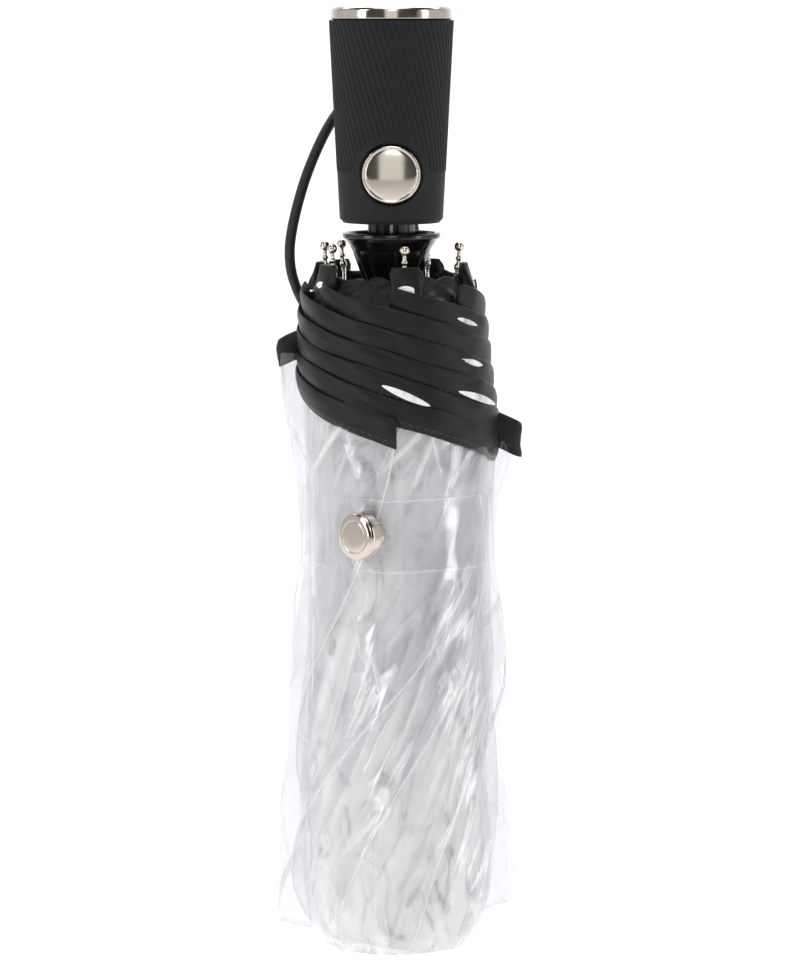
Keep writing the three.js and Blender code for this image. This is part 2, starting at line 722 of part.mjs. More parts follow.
// The wedge of space that one panel fills, a little narrower than its share of the circle.
function wedge(azimuth) {
  const far = 80;
  const half = radians(RIB_STEP / 2);
  const shape = new THREE.Shape();
  const inset = GAP / 2 / Math.sin(half);
  shape.moveTo(inset, 0);
  shape.lineTo(inset + far * Math.cos(half), -far * Math.sin(half));
  shape.lineTo(inset + far * Math.cos(half), far * Math.sin(half));
  const height = HEM_TOP - FILM_END + 4;
  const solid = new THREE.ExtrudeGeometry(shape, { depth: height, bevelEnabled: false });
  return solid.translate(0, 0, FILM_END - 2).rotateZ(radians(azimuth));
}

// ---- strap and snap, in plan: a point so far out along the cap's axis and across it
const snapOut = new THREE.Vector2(
  Math.cos(radians(SNAP_AZIMUTH)),
  Math.sin(radians(SNAP_AZIMUTH)),
);
const snapZ = STRAP_TOP - STRAP_WIDTH / 2;

function snapPoint(out, across) {
  return new THREE.Vector2(...SNAP_SEAT)
    .addScaledVector(snapOut, out)
    .add(new THREE.Vector2(snapOut.y, -snapOut.x).multiplyScalar(across));
}

function snapRod(radius, from, to, sides) {
  const a = snapPoint(from, 0);
  const b = snapPoint(to, 0);
  return rod(radius, [a.x, a.y, snapZ], [b.x, b.y, snapZ], sides);
}

// The flat that the socket and the strap's end lie in, cut out of the panels.
function snapFlat() {
  const floor = -STRAP_THICKNESS - 2 * GAP - SNAP_SOCKET_HEIGHT - GAP;
  const half = SNAP_CAP_RADIUS + 4;
  const corners = [[floor, -half], [floor, half], [floor + 16, half], [floor + 16, -half]];
  const shape = new THREE.Shape(corners.map(([out, across]) => snapPoint(out, across)));
  const height = STRAP_WIDTH + 3;
  return new THREE.ExtrudeGeometry(shape, { depth: height, bevelEnabled: false })
    .translate(0, 0, snapZ - height / 2);
}

// A band of even thickness standing on a plan line.
function band(line, thickness, top, width) {
  const sides = [1, -1].map((sign) => line.map((p, i) => {
    const before = line[Math.max(i - 1, 0)];
    const after = line[Math.min(i + 1, line.length - 1)];
    const along = after.clone().sub(before).normalize();
    return new THREE.Vector2(p.x - along.y * sign * thickness / 2, p.y + along.x * sign * thickness / 2);
  }));
  const shape = new THREE.Shape([...sides[0], ...sides[1].reverse()]);
  return new THREE.ExtrudeGeometry(shape, { depth: width, bevelEnabled: false })
    .translate(0, 0, top - width);
}

const strapRadius = WAIST_RADIUS + STRAP_CLEAR + STRAP_THICKNESS / 2;
const STRAP_HINGE_AZIMUTH = -70;

function onStrap(azimuth, radius = strapRadius) {
  return new THREE.Vector2(Math.cos(radians(azimuth)), Math.sin(radians(azimuth)))
    .multiplyScalar(radius);
}

function closingStrap() {
  const line = [];
  const steps = 28;
  const from = STRAP_HINGE_AZIMUTH + 1;
  for (let i = 0; i <= steps; i += 1) {
    line.push(onStrap(from + ((STRAP_END_AZIMUTH - from) * i) / steps));
  }
  return band(line, STRAP_THICKNESS, STRAP_TOP, STRAP_WIDTH);
}

function strapTab() {
  const out = -GAP - STRAP_THICKNESS / 2;
  const curve = new THREE.CatmullRomCurve3([
    onStrap(STRAP_HINGE_AZIMUTH),
    onStrap(STRAP_HINGE_AZIMUTH - 8, strapRadius + 0.3),
    onStrap(STRAP_HINGE_AZIMUTH - 15, strapRadius + 1.4),
    snapPoint(out, -SNAP_CAP_RADIUS),
    snapPoint(out, -SNAP_CAP_RADIUS / 2),
    snapPoint(out, SNAP_CAP_RADIUS / 2),
    snapPoint(out, SNAP_CAP_RADIUS + 1.5),
  ].map((p) => new THREE.Vector3(p.x, p.y, 0)));
  const line = curve.getPoints(16).map((p) => new THREE.Vector2(p.x, p.y));
  const tab = band(line, STRAP_THICKNESS, STRAP_TOP, STRAP_WIDTH);
  return cut(tab, snapRod(SNAP_POST_RADIUS + GAP, -4, 4, 16));
}

function snapCap() {
  const h = SNAP_CAP_HEIGHT;
  const r = SNAP_CAP_RADIUS;
  const dome = turned([
    [0, 0],
    [r - 0.5, 0],
    [r, 0.5],
    [r, h - 1.5],
    [r - 0.4, h - 0.8],
    [r - 1.2, h - 0.35],
    [r * 0.5, h - 0.05],
    [0, h],
  ], 24);
  const seat = snapPoint(0, 0);
  const place = dome.rotateY(Math.PI / 2)
    .rotateZ(radians(SNAP_AZIMUTH))
    .translate(seat.x, seat.y, snapZ);
  const post = snapRod(SNAP_POST_RADIUS, -STRAP_THICKNESS - 1.5 * GAP, 1, 12);
  return joined(place, post);
}

function snapSocket() {
  const top = -STRAP_THICKNESS - 2.5 * GAP;
  const disc = snapRod(SNAP_SOCKET_RADIUS, top - SNAP_SOCKET_HEIGHT + GAP, top, 24);
  const well = snapRod(SNAP_POST_RADIUS + GAP, top - 0.8, top + 1, 12);
  return cut(disc, well);
}

// ---- the assembly
add('end_cap', endCap(), paint.cap);
add('grip_sleeve', gripSleeve(), paint.rubber);
add('handle_core', handleCore(), paint.blackPlastic);
add('push_button', pushButton(), paint.cap);
add('button_spring', buttonSpring(), paint.steel);
add('wrist_cord', wristCord(), paint.cord);
add('tip_cup', tipCup(), paint.blackPlastic);
add('lower_tube', lowerTube(), paint.steel);
add('middle_tube', middleTube(), paint.steel);
add('upper_tube', upperTube(), paint.steel);
add('drive_spring', driveSpring(), paint.steel);
add('runner', runner(), paint.whitePlastic);
add('crown', crown(), paint.whitePlastic);
add('ferrule', ferrule(), paint.whitePlastic);

const hem = hemRing();
const film = cut(filmRing(), snapFlat());
for (let i = 0; i < RIB_COUNT; i += 1) {
  const azimuth = RIB_PHASE + i * RIB_STEP;
  const lean = THREE.MathUtils.euclideanModulo(TIP_AZIMUTHS[i] - azimuth + 180, 360) - 180;
  const set = new THREE.Group();
  set.rotation.z = radians(azimuth);
  group.add(set);
  add(`top_rib_${i + 1}`, topRib(), paint.rib, set);
  add(`stretcher_${i + 1}`, stretcher(), paint.rib, set);
  add(`middle_rib_${i + 1}`, middleRib(), paint.rib, set);
  add(`outer_rib_${i + 1}`, outerRib(lean), paint.steel, set);
  add(`edge_binding_${i + 1}`, common(hem, wedge(azimuth)), paint.hem);
  add(`film_panel_${i + 1}`, common(film, wedge(azimuth)), paint.film);
}

add('closing_strap', closingStrap(), paint.film);
add('strap_tab', strapTab(), paint.film);
add('snap_cap', snapCap(), paint.cap);
add('snap_socket', snapSocket(), paint.cap);

export default group;
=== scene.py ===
"""A folded clear-film umbrella, hung by its handle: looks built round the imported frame.

The file is laid out as an add-on. Sizes and colours sit in property groups, each piece or group of
like pieces has its own operator, and main() calls them in order. All lengths are in metres.
"""

import math

import bmesh
import bpy
import numpy as np
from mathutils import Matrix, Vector


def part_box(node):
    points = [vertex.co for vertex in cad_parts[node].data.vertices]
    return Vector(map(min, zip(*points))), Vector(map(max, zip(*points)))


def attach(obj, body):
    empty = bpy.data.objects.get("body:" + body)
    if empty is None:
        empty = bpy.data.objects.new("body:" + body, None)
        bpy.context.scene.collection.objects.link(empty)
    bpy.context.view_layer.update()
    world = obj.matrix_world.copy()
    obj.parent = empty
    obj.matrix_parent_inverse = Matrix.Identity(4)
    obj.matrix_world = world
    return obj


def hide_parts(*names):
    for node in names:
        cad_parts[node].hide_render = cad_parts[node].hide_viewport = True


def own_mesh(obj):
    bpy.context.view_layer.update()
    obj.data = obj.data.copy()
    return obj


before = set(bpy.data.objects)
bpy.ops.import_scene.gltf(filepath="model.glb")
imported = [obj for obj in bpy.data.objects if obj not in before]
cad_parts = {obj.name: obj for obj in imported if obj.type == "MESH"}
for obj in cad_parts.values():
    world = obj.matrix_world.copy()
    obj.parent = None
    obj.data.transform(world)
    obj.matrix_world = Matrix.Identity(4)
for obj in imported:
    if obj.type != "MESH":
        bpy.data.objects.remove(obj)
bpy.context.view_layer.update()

bl_info = {
    "name": "Clear film umbrella",
    "version": (1, 0, 0),
    "blender": (4, 5, 0),
    "location": "3D View > Sidebar > Umbrella",
    "description": "Builds a folded clear-film umbrella round its rib frame",
    "category": "Object",
}

MM = 0.001
TAU = 2 * math.pi

# ---- places taken from the frame
BOX = {node: [np.array(corner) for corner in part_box(node)] for node in (
    "end_cap", "grip_sleeve", "push_button", "tip_cup", "lower_tube", "middle_tube",
    "upper_tube", "closing_strap", "button_spring",
)}
GRIP_TOP = BOX["grip_sleeve"][1][2]
GRIP_END = BOX["grip_sleeve"][0][2]
GRIP_FOOT = 15.7 * MM  # the sleeve's radius at its lower end
GRIP_MEAN = 17.2 * MM  # its radius midway
GRIP_BAND = -48.9 * MM  # the flutes stop here, above a plain band
CUP_TOP = BOX["tip_cup"][1][2]
CUP_END = BOX["tip_cup"][0][2]
CUP_RADIUS = BOX["tip_cup"][1][0]
CAP_RADIUS = BOX["end_cap"][1][0]
BUTTON_Z = (BOX["push_button"][0][2] + BOX["push_button"][1][2]) / 2
BUTTON_RADIUS = BOX["push_button"][1][0]
STRAP_Z = (BOX["closing_strap"][0][2] + BOX["closing_strap"][1][2]) / 2
STRAP_RADIUS = 29.35 * MM
STRAP_SPAN = (-69, 218)  # the azimuths that the band covers, in degrees
STRAP_ROWS = 30
SNAP_SEAT = (-7.7 * MM, -27.6 * MM)
SNAP_TURN = math.radians(-132)

# ---- the rib frame's plan, as the frame has it
RIBS = 7
RIB_STEP = 360 / RIBS
RIB_PHASE = -79
TIP_AZIMUTHS = (-79, 0, 58, 80, 138, 170, -150)
TIP_RADIUS = 20.5 * MM
TIP_Z = -72 * MM
KNEE = (13.9 * MM, -254 * MM)
WIRE_BEND = (16.74 * MM, -194 * MM)
WIRE_RADIUS = 1.0 * MM

# ---- how far round each panel's fold reaches from its own rib, in degrees, at the bound edge
FOLD_REACH = (219, 297, 331, 290, 265, 275, 250)
LAYER_STEP = 0.75 * MM  # each layer lies this much outside the next
HEM_START = -87.8 * MM
HEM_STEP = 6.2 * MM  # the bound edge sinks this much for each rib it passes
WHOLE_WIND = math.radians(335)  # how far round the bound edge winds in all


# ---------------------------------------------------------------- settings
class UmbrellaHandle(bpy.types.PropertyGroup):
    """Sizes and colours of the handle."""

    flutes: bpy.props.IntProperty(
        name="Flutes", description="Slanting flutes round the grip", default=62, min=12, max=120)
    flute_depth: bpy.props.FloatProperty(
        name="Flute depth", description="Depth of a flute", default=0.34 * MM, unit="LENGTH")
    flute_lean: bpy.props.FloatProperty(
        name="Flute lean", description="Lean of the flutes from upright",
        default=math.radians(16), subtype="ANGLE")
    rubber: bpy.props.FloatVectorProperty(
        name="Rubber", description="Colour of the grip", subtype="COLOR", size=3,
        default=(0.0125, 0.0125, 0.0148))
    metal: bpy.props.FloatVectorProperty(
        name="Metal", description="Colour of the cap, button and snap", subtype="COLOR", size=3,
        default=(0.72, 0.65, 0.565))
    plastic: bpy.props.FloatVectorProperty(
        name="Plastic", description="Colour of the cup and neck", subtype="COLOR", size=3,
        default=(0.0035, 0.0035, 0.004))


class UmbrellaCanopy(bpy.types.PropertyGroup):
    """Sizes and colours of the folded canopy."""

    crease: bpy.props.FloatProperty(
        name="Crease depth", description="Depth of the long creases", default=1.25 * MM,
        unit="LENGTH")
    tape: bpy.props.FloatProperty(
        name="Tape width", description="Width of the edge binding", default=8.6 * MM,
        unit="LENGTH")
    film: bpy.props.FloatVectorProperty(
        name="Film", description="Tint of the film", subtype="COLOR", size=3,
        default=(0.97, 0.968, 0.965))
    fabric: bpy.props.FloatVectorProperty(
        name="Fabric", description="Colour of the edge binding", subtype="COLOR", size=3,
        default=(0.0062, 0.0062, 0.0072))
    clearness: bpy.props.FloatProperty(
        name="Clearness", description="Share of light that a film layer lets through head on",
        default=0.945, min=0, max=1, subtype="FACTOR")


class UmbrellaStage(bpy.types.PropertyGroup):
    """Camera and light."""

    distance: bpy.props.FloatProperty(
        name="Distance", description="From the camera to the shaft", default=1.1, unit="LENGTH")
    key: bpy.props.FloatProperty(
        name="Key light", description="Power of the large soft box", default=3.2, unit="POWER")


# ---------------------------------------------------------------- meshes
def grid_faces(rows, columns, closed_rows=False, closed_columns=False):
    """Quads between neighbours of a grid of rows by columns, numbered row by row."""
    i = np.arange(rows if closed_rows else rows - 1)
    j = np.arange(columns if closed_columns else columns - 1)
    i, j = (a.ravel() for a in np.meshgrid(i, j, indexing="ij"))
    after_i, after_j = (i + 1) % rows, (j + 1) % columns
    row, after = i * columns, after_i * columns
    return np.stack((row + j, after + j, after + after_j, row + after_j), axis=1)


def signed_volume(points, quads):
    """Volume inside the quads, by the pyramids from the origin to each half of each quad."""
    a, b, c, d = (points[quads[:, n]] for n in range(4))
    first = np.einsum("ij,ij->i", a, np.cross(b, c)).sum()
    second = np.einsum("ij,ij->i", a, np.cross(c, d)).sum()
    return (first + second) / 6


def facing_out(points, quads, inside=None):
    """The quads, turned round if they face inwards as seen from a point inside, or from their middle."""
    flat = points.reshape(-1, 3)
    inside = flat.mean(axis=0) if inside is None else inside
    return quads[:, ::-1] if signed_volume(flat - inside, quads) < 0 else quads


def grid_uv(u, v):
    """One UV pair for each point of a grid, from what u and v are along it."""
    return np.stack(np.broadcast_arrays(u, v), -1).reshape(-1, 2)


def turn_uv(rows, columns):
    """UV of a surface of revolution: u once round it and v once down its profile."""
    return grid_uv(np.arange(columns) / columns, np.linspace(0, 1, rows)[:, None])


def gathered(row):
    """A row of points drawn together at its middle, which closes a grid's end."""
    return row.mean(axis=1, keepdims=True) * np.ones_like(row)


def squared(value, power):
    """A sine or cosine made flatter at its tops, which squares up a round section."""
    return np.sign(value) * np.abs(value) ** power


def line_at(distance, width, strength):
    """A soft line where the distance is 0: strength * exp(-(distance / width)^2)."""
    return strength * np.exp(-((distance / width) ** 2))


def piece(name, points, body, material, quads, uv=None, replaces=(), weld=True, edge=None):
    """A mesh object from an array of points and quads, riding on a body. uv has a pair for each point."""
    mesh = bpy.data.meshes.new(name)
    points = np.asarray(points, float).reshape(-1, 3)
    mesh.vertices.add(len(points))
    mesh.vertices.foreach_set("co", points.astype(np.float32).ravel())
    mesh.loops.add(quads.size)
    mesh.loops.foreach_set("vertex_index", quads.astype(np.int32).ravel())
    mesh.polygons.add(len(quads))
    mesh.polygons.foreach_set("loop_start", np.arange(0, quads.size, 4, dtype=np.int32))
    mesh.polygons.foreach_set("loop_total", np.full(len(quads), 4, dtype=np.int32))
    mesh.update(calc_edges=True)
    if uv is not None:
        layer = mesh.uv_layers.new(name="UVMap")
        layer.data.foreach_set("uv", np.asarray(uv, np.float32)[quads.ravel()].ravel())
    # edge: a mark on each point that the film's material paints as a white highlight
    if edge is not None:
        marks = mesh.attributes.new("edge", "FLOAT", "POINT")
        marks.data.foreach_set("value", np.ascontiguousarray(edge, np.float32).ravel())
    mesh.validate()
    if weld:
        work = bmesh.new()
        work.from_mesh(mesh)
        bmesh.ops.remove_doubles(work, verts=work.verts, dist=1e-7)
        bmesh.ops.dissolve_degenerate(work, edges=work.edges, dist=1e-8)
        work.to_mesh(mesh)
        work.free()
    mesh.polygons.foreach_set("use_smooth", np.ones(len(mesh.polygons), dtype=bool))
    mesh.materials.append(material)
    thing = bpy.data.objects.new(name, mesh)
    bpy.context.scene.collection.objects.link(thing)
    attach(thing, body)
    if replaces:
        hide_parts(*replaces)
    return thing


def rounded(profile, radius, steps=4):
    """A profile with its inner corners replaced by arcs: each corner becomes a quadratic curve
    between points one radius along its two sides."""
    profile = np.asarray(profile, float)
    out = [profile[0]]
    share = np.linspace(0, 1, steps + 1)[:, None]
    for before, corner, after in zip(profile[:-2], profile[1:-1], profile[2:]):
        back, on = before - corner, after - corner
        reach = min(radius, 0.45 * np.linalg.norm(back), 0.45 * np.linalg.norm(on))
        a = corner + back / max(np.linalg.norm(back), 1e-9) * reach
        c = corner + on / max(np.linalg.norm(on), 1e-9) * reach
        out += list((1 - share) ** 2 * a + 2 * share * (1 - share) * corner + share**2 * c)
    return np.array([*out, profile[-1]])


def lathe(name, profile, body, material, origin=(0, 0, 0), axis=(0, 0, 1), around=128,
          closed=False, replaces=()):
    """A profile of (radius, height) points turned about an axis through origin:
    point = origin + radius * (cos a * side + sin a * across) + height * axis."""
    profile = np.asarray(profile, float)
    axis = Vector(axis).normalized()
    side = axis.orthogonal().normalized()
    across = axis.cross(side)
    turn = np.linspace(0, TAU, around, endpoint=False)[None, :, None]
    radius, height = profile[:, 0][:, None, None], profile[:, 1][:, None, None]
    round_it = np.cos(turn) * np.array(side) + np.sin(turn) * np.array(across)
    points = np.array(origin) + radius * round_it + height * np.array(axis)
    quads = grid_faces(len(profile), around, closed_rows=closed, closed_columns=True)
    return piece(name, points, body, material, facing_out(points, quads, np.array(origin)),
                 turn_uv(len(profile), around), replaces)


def smooth_step(low, high, value):
    """0 below low, 1 above high, and a smooth S between."""
    t = np.clip((value - low) / (high - low), 0, 1)
    return t * t * (3 - 2 * t)


def waves(a, b, seed, count=6, low=1, high=6):
    """A smooth wavy field over an angle a and a length b, within -1 and 1: a sum of sines of whole
    numbers of turns of a and so many radians a metre of b, each with its own phase."""
    rng = np.random.default_rng(seed)
    total = np.zeros(np.broadcast(a, b).shape)
    for _ in range(count):
        turns = rng.integers(low, high)
        pitch = rng.uniform(-1, 1) * 40 * high
        total += np.sin(turns * a + pitch * b + rng.uniform(0, TAU))
    return total / count


# ---------------------------------------------------------------- shape of the bundle
OUTLINE_Z = np.array([-84, -88, -96, -110, -125, -140, -160, -180, -200, -230, -255, -270,
                      -280, -286, -291]) * -MM
OUTLINE_R = np.array([24.3, 26.2, 27.6, 28.6, 29.8, 29.6, 28.8, 29.0, 29.8, 30.8, 31.8, 31.6,
                      29.5, 26, 20]) * MM
SHIFT_Z = np.array([-84, -100, -120, -160, -200, -230, -290]) * -MM
SHIFT_X = np.array([0, 0.6, 1.9, 2.0, 2.3, 1.4, 1.2]) * MM
CORE_Z = np.array([0.118, 0.250, 0.262, 0.27, 0.286])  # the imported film's inside, clear of the ribs
CORE_R = np.array([20, 17, 16.8, 13, 11.4]) * MM


def outline(z):
    """The bundle's outer radius at a height, by straight steps between the outline's points."""
    return np.interp(-z, OUTLINE_Z, OUTLINE_R)


def shift(z):
    """How far the bundle's middle stands to the right of the shaft."""
    return np.interp(-z, SHIFT_Z, SHIFT_X)


def creases(azimuth, z, depth):
    """Long slanting creases: ridged waves along lines that climb to the right, warped by slow waves.
    The same field serves every layer, so that the layers don't cut each other."""
    warp = 1.1 * waves(azimuth, z, 3, low=1, high=4)
    total = 0
    for turns, share, seed in ((7, 0.95, 0), (12, 0.55, 1), (19, 0.33, 2), (31, 0.16, 5)):
        phase = turns * azimuth - 17 * turns * z + 1.7 * seed + warp * (1 + 0.5 * seed)
        ridge = 1 - 2 * np.abs(np.sin(phase / 2)) ** 0.8
        total = total + share * ridge * (0.6 + 0.4 * waves(azimuth, z, 20 + seed, low=1, high=5))
    calm = 0.25 + 0.75 * smooth_step(0.168, 0.215, -z)
    calm = calm * (1 - 0.55 * smooth_step(0.262, 0.29, -z))
    return depth * calm * total


def around_shaft(azimuth, radius, z):
    """Points at an azimuth and radius about the bundle's middle."""
    x, y = shift(z) + radius * np.cos(azimuth), radius * np.sin(azimuth)
    return np.stack([x, y, z + 0 * azimuth], -1)


def rib_azimuth(k):
    """Where rib k stands round the shaft, in radians."""
    return math.radians(RIB_PHASE + k * RIB_STEP)


def reach_at(k, z):
    """How far round the fold of panel k reaches at a height: all the way at the bound edge, and less
    towards the crown, where the panel is narrow."""
    full = math.radians(FOLD_REACH[k])
    foot = math.radians(150 + 8 * math.sin(2.3 * k))
    drop = smooth_step(0.12, 0.30, -z)
    return full + (foot - full) * drop


def layer_radius(turned, z):
    """The radius of a panel where it has turned so far from its rib. The outermost layer at a height is
    the one whose bound edge is there, and each layer that has turned one rib's step less lies one
    layer's step further in."""
    outermost = np.clip((HEM_START - z) / HEM_STEP, 0, WHOLE_WIND / math.radians(RIB_STEP))
    return outline(z) - LAYER_STEP * np.maximum(outermost - turned / math.radians(RIB_STEP), -0.4)


def hem_height(k, turned):
    """The height of panel k's bound edge, which winds down to the right as it goes round."""
    azimuth = rib_azimuth(k) + turned
    steps = turned / math.radians(RIB_STEP)
    extra = 4.6 * MM * (1 - np.cos(azimuth - math.pi)) / 2 * turned / math.radians(300)
    return HEM_START - HEM_STEP * steps - extra


# ---------------------------------------------------------------- materials
def node_material(name):
    """A material with an empty node tree. Returns it with its output, a maker of nodes and one of links."""
    material = bpy.data.materials.new(name)
    material.use_nodes = True
    tree = material.node_tree
    tree.nodes.clear()
    output = tree.nodes.new("ShaderNodeOutputMaterial")

    def add(kind, **values):
        node = tree.nodes.new("ShaderNode" + kind)
        for key, value in values.items():
            if key in node.inputs:
                node.inputs[key].default_value = value
            else:
                setattr(node, key, value)
        return node

    def join(out, into):
        tree.links.new(out, into)

    return material, output, add, join


def principled(add, colour, roughness, **more):
    """The one shader that every finish is built on."""
    return add("BsdfPrincipled", **{"Base Color": (*colour, 1), "Roughness": roughness, **more})


def ramp(add, low, high, low_at=0.0, high_at=1.0):
    """A colour ramp between two greys."""
    node = add("ValToRGB")
    ends = node.color_ramp.elements
    ends[0].position, ends[1].position = low_at, high_at
    ends[0].color, ends[1].color = (low, low, low, 1), (high, high, high, 1)
    return node


def math_node(add, join, operation, *values, **more):
    """A sum of that kind. Each value is a number or a node's output."""
    node = add("Math", operation=operation, **more)
    for socket, value in zip(node.inputs, values):
        if isinstance(value, (int, float)):
            socket.default_value = value
        else:
            join(value, socket)
    return node.outputs[0]


def rough_by(add, join, shader, cause, *ends):
    """Roughness that runs between two values as the cause does."""
    rough = ramp(add, *ends)
    join(cause, rough.inputs["Fac"])
    join(rough.outputs["Color"], shader.inputs["Roughness"])


def finish_bump(add, join, shader, output, height, strength, distance):
    """Raises the surface by the height and joins the shader to the output. Returns the bump node."""
    bump = add("Bump", Strength=strength, Distance=distance)
    join(height, bump.inputs["Height"])
    join(bump.outputs["Normal"], shader.inputs["Normal"])
    join(shader.outputs[0], output.inputs[0])
    return bump


def noise(add, join, place, scale, detail, **more):
    """A noise over a place. Returns its output."""
    node = add("TexNoise", Scale=scale, Detail=detail, **more)
    join(place, node.inputs["Vector"])
    return node.outputs["Fac"]


def rubber_material(colour):
    """Soft matte rubber: a fine grain in its bump and slight worn patches in its roughness."""
    material, output, add, join = node_material("soft_rubber")
    shader = principled(add, colour, 0.62, **{"Specular IOR Level": 0.22, "Sheen Weight": 0.04,
                                             "Sheen Roughness": 0.5})
    place = add("TexCoord").outputs["Object"]
    rough_by(add, join, shader, noise(add, join, place, 60.0, 4.0), 0.54, 0.68)
    finish_bump(add, join, shader, output, noise(add, join, place, 2600.0, 3.0), 0.12, 0.05 * MM)
    return material


def metal_material(name, colour, low, high):
    """Polished plated metal: faint wiping marks in its roughness and a very slight unevenness."""
    material, output, add, join = node_material(name)
    shader = principled(add, colour, low, Metallic=1.0)
    place = add("TexCoord").outputs["Object"]
    marks = noise(add, join, place, 220.0, 6.0, Roughness=0.6)
    rough_by(add, join, shader, marks, low, high, 0.35, 0.75)
    finish_bump(add, join, shader, output, noise(add, join, place, 45.0, 1.0), 0.05, 0.2 * MM)
    return material


def plastic_material(name, colour, roughness):
    """Moulded plastic with a slight flow unevenness."""
    material, output, add, join = node_material(name)
    shader = principled(add, colour, roughness, **{"Coat Weight": 0.25, "Coat Roughness": 0.08})
    flow = noise(add, join, add("TexCoord").outputs["Object"], 160.0, 4.0)
    rough_by(add, join, shader, flow, roughness * 0.8, roughness * 1.5)
    finish_bump(add, join, shader, output, flow, 0.06, 0.1 * MM)
    return material


def fabric_material(colour):
    """Woven tape: a fine twill over its UV, soft sheen, and a row of stitches near each edge."""
    material, output, add, join = node_material("woven_tape")
    shader = principled(add, colour, 0.40, **{"Sheen Weight": 0.05, "Sheen Roughness": 0.4,
                                             "Specular IOR Level": 0.27})
    place = add("UVMap", uv_map="UVMap").outputs[0]
    turn = add("Mapping", Rotation=(0, 0, math.radians(40)))
    twill = add("TexWave", Scale=900.0, Distortion=0.4, Detail=1.0)
    tint = add("Mix", data_type="RGBA", blend_type="MIX")
    tint.inputs["A"].default_value = (*[c * 0.6 for c in colour], 1)
    tint.inputs["B"].default_value = (*[c * 2.1 for c in colour], 1)
    join(place, turn.inputs["Vector"])
    join(turn.outputs[0], twill.inputs["Vector"])
    join(noise(add, join, place, 90.0, 4.0), tint.inputs["Factor"])
    # stitches: dashes along one row, near the lower edge
    apart = add("SeparateXYZ")
    join(place, apart.inputs[0])
    row = math_node(add, join, "COMPARE", apart.outputs["Y"], -2.6 * MM, 0.13 * MM)
    sine = math_node(add, join, "SINE",
                     math_node(add, join, "MULTIPLY", apart.outputs["X"], TAU / (2.1 * MM)))
    dash = math_node(add, join, "GREATER_THAN", sine, 0.1)
    thread = add("Mix", data_type="RGBA")
    thread.inputs["B"].default_value = (0.055, 0.055, 0.058, 1)
    join(math_node(add, join, "MULTIPLY", dash, row), thread.inputs["Factor"])
    join(tint.outputs["Result"], thread.inputs["A"])
    join(thread.outputs["Result"], shader.inputs["Base Color"])
    # long wrinkles under the twill
    along = add("Mapping", Scale=(0.22, 1.0, 1.0))
    join(place, along.inputs["Vector"])
    wrinkle = add("Bump", Strength=0.55, Distance=0.7 * MM)
    join(noise(add, join, along.outputs[0], 330.0, 3.0, Roughness=0.45), wrinkle.inputs["Height"])
    bump = finish_bump(add, join, shader, output, twill.outputs["Fac"], 0.35, 0.08 * MM)
    join(wrinkle.outputs["Normal"], bump.inputs["Normal"])
    return material


def cord_material(colour):
    """A braid's small raised cells in the bump, with painted shade: the colour is darker in the gaps
    between them.
    """
    material, output, add, join = node_material("braided_cord")
    shader = principled(add, colour, 0.6, **{"Sheen Weight": 0.1, "Sheen Roughness": 0.5})
    weave = add("TexVoronoi", Scale=1500.0)
    join(add("TexCoord").outputs["Object"], weave.inputs["Vector"])
    # painted shade: the colour follows the bump's height, darker where it sinks
    tone = ramp(add, colour[0] * 0.6, colour[0] * 2.4)
    join(weave.outputs["Distance"], tone.inputs["Fac"])
    join(tone.outputs["Color"], shader.inputs["Base Color"])
    finish_bump(add, join, shader, output, weave.outputs["Distance"], 0.5, 0.1 * MM)
    return material


# the film's crease lines, which give a bump and painted highlights: how close they stand, their lean in
# degrees, how thin, and how much is left out
FILM_CREASE_HIGHLIGHTS = ((9.0, 24, 0.988, 0.50), (6.0, 42, 0.992, 0.52), (10.0, -12, 0.992, 0.55))


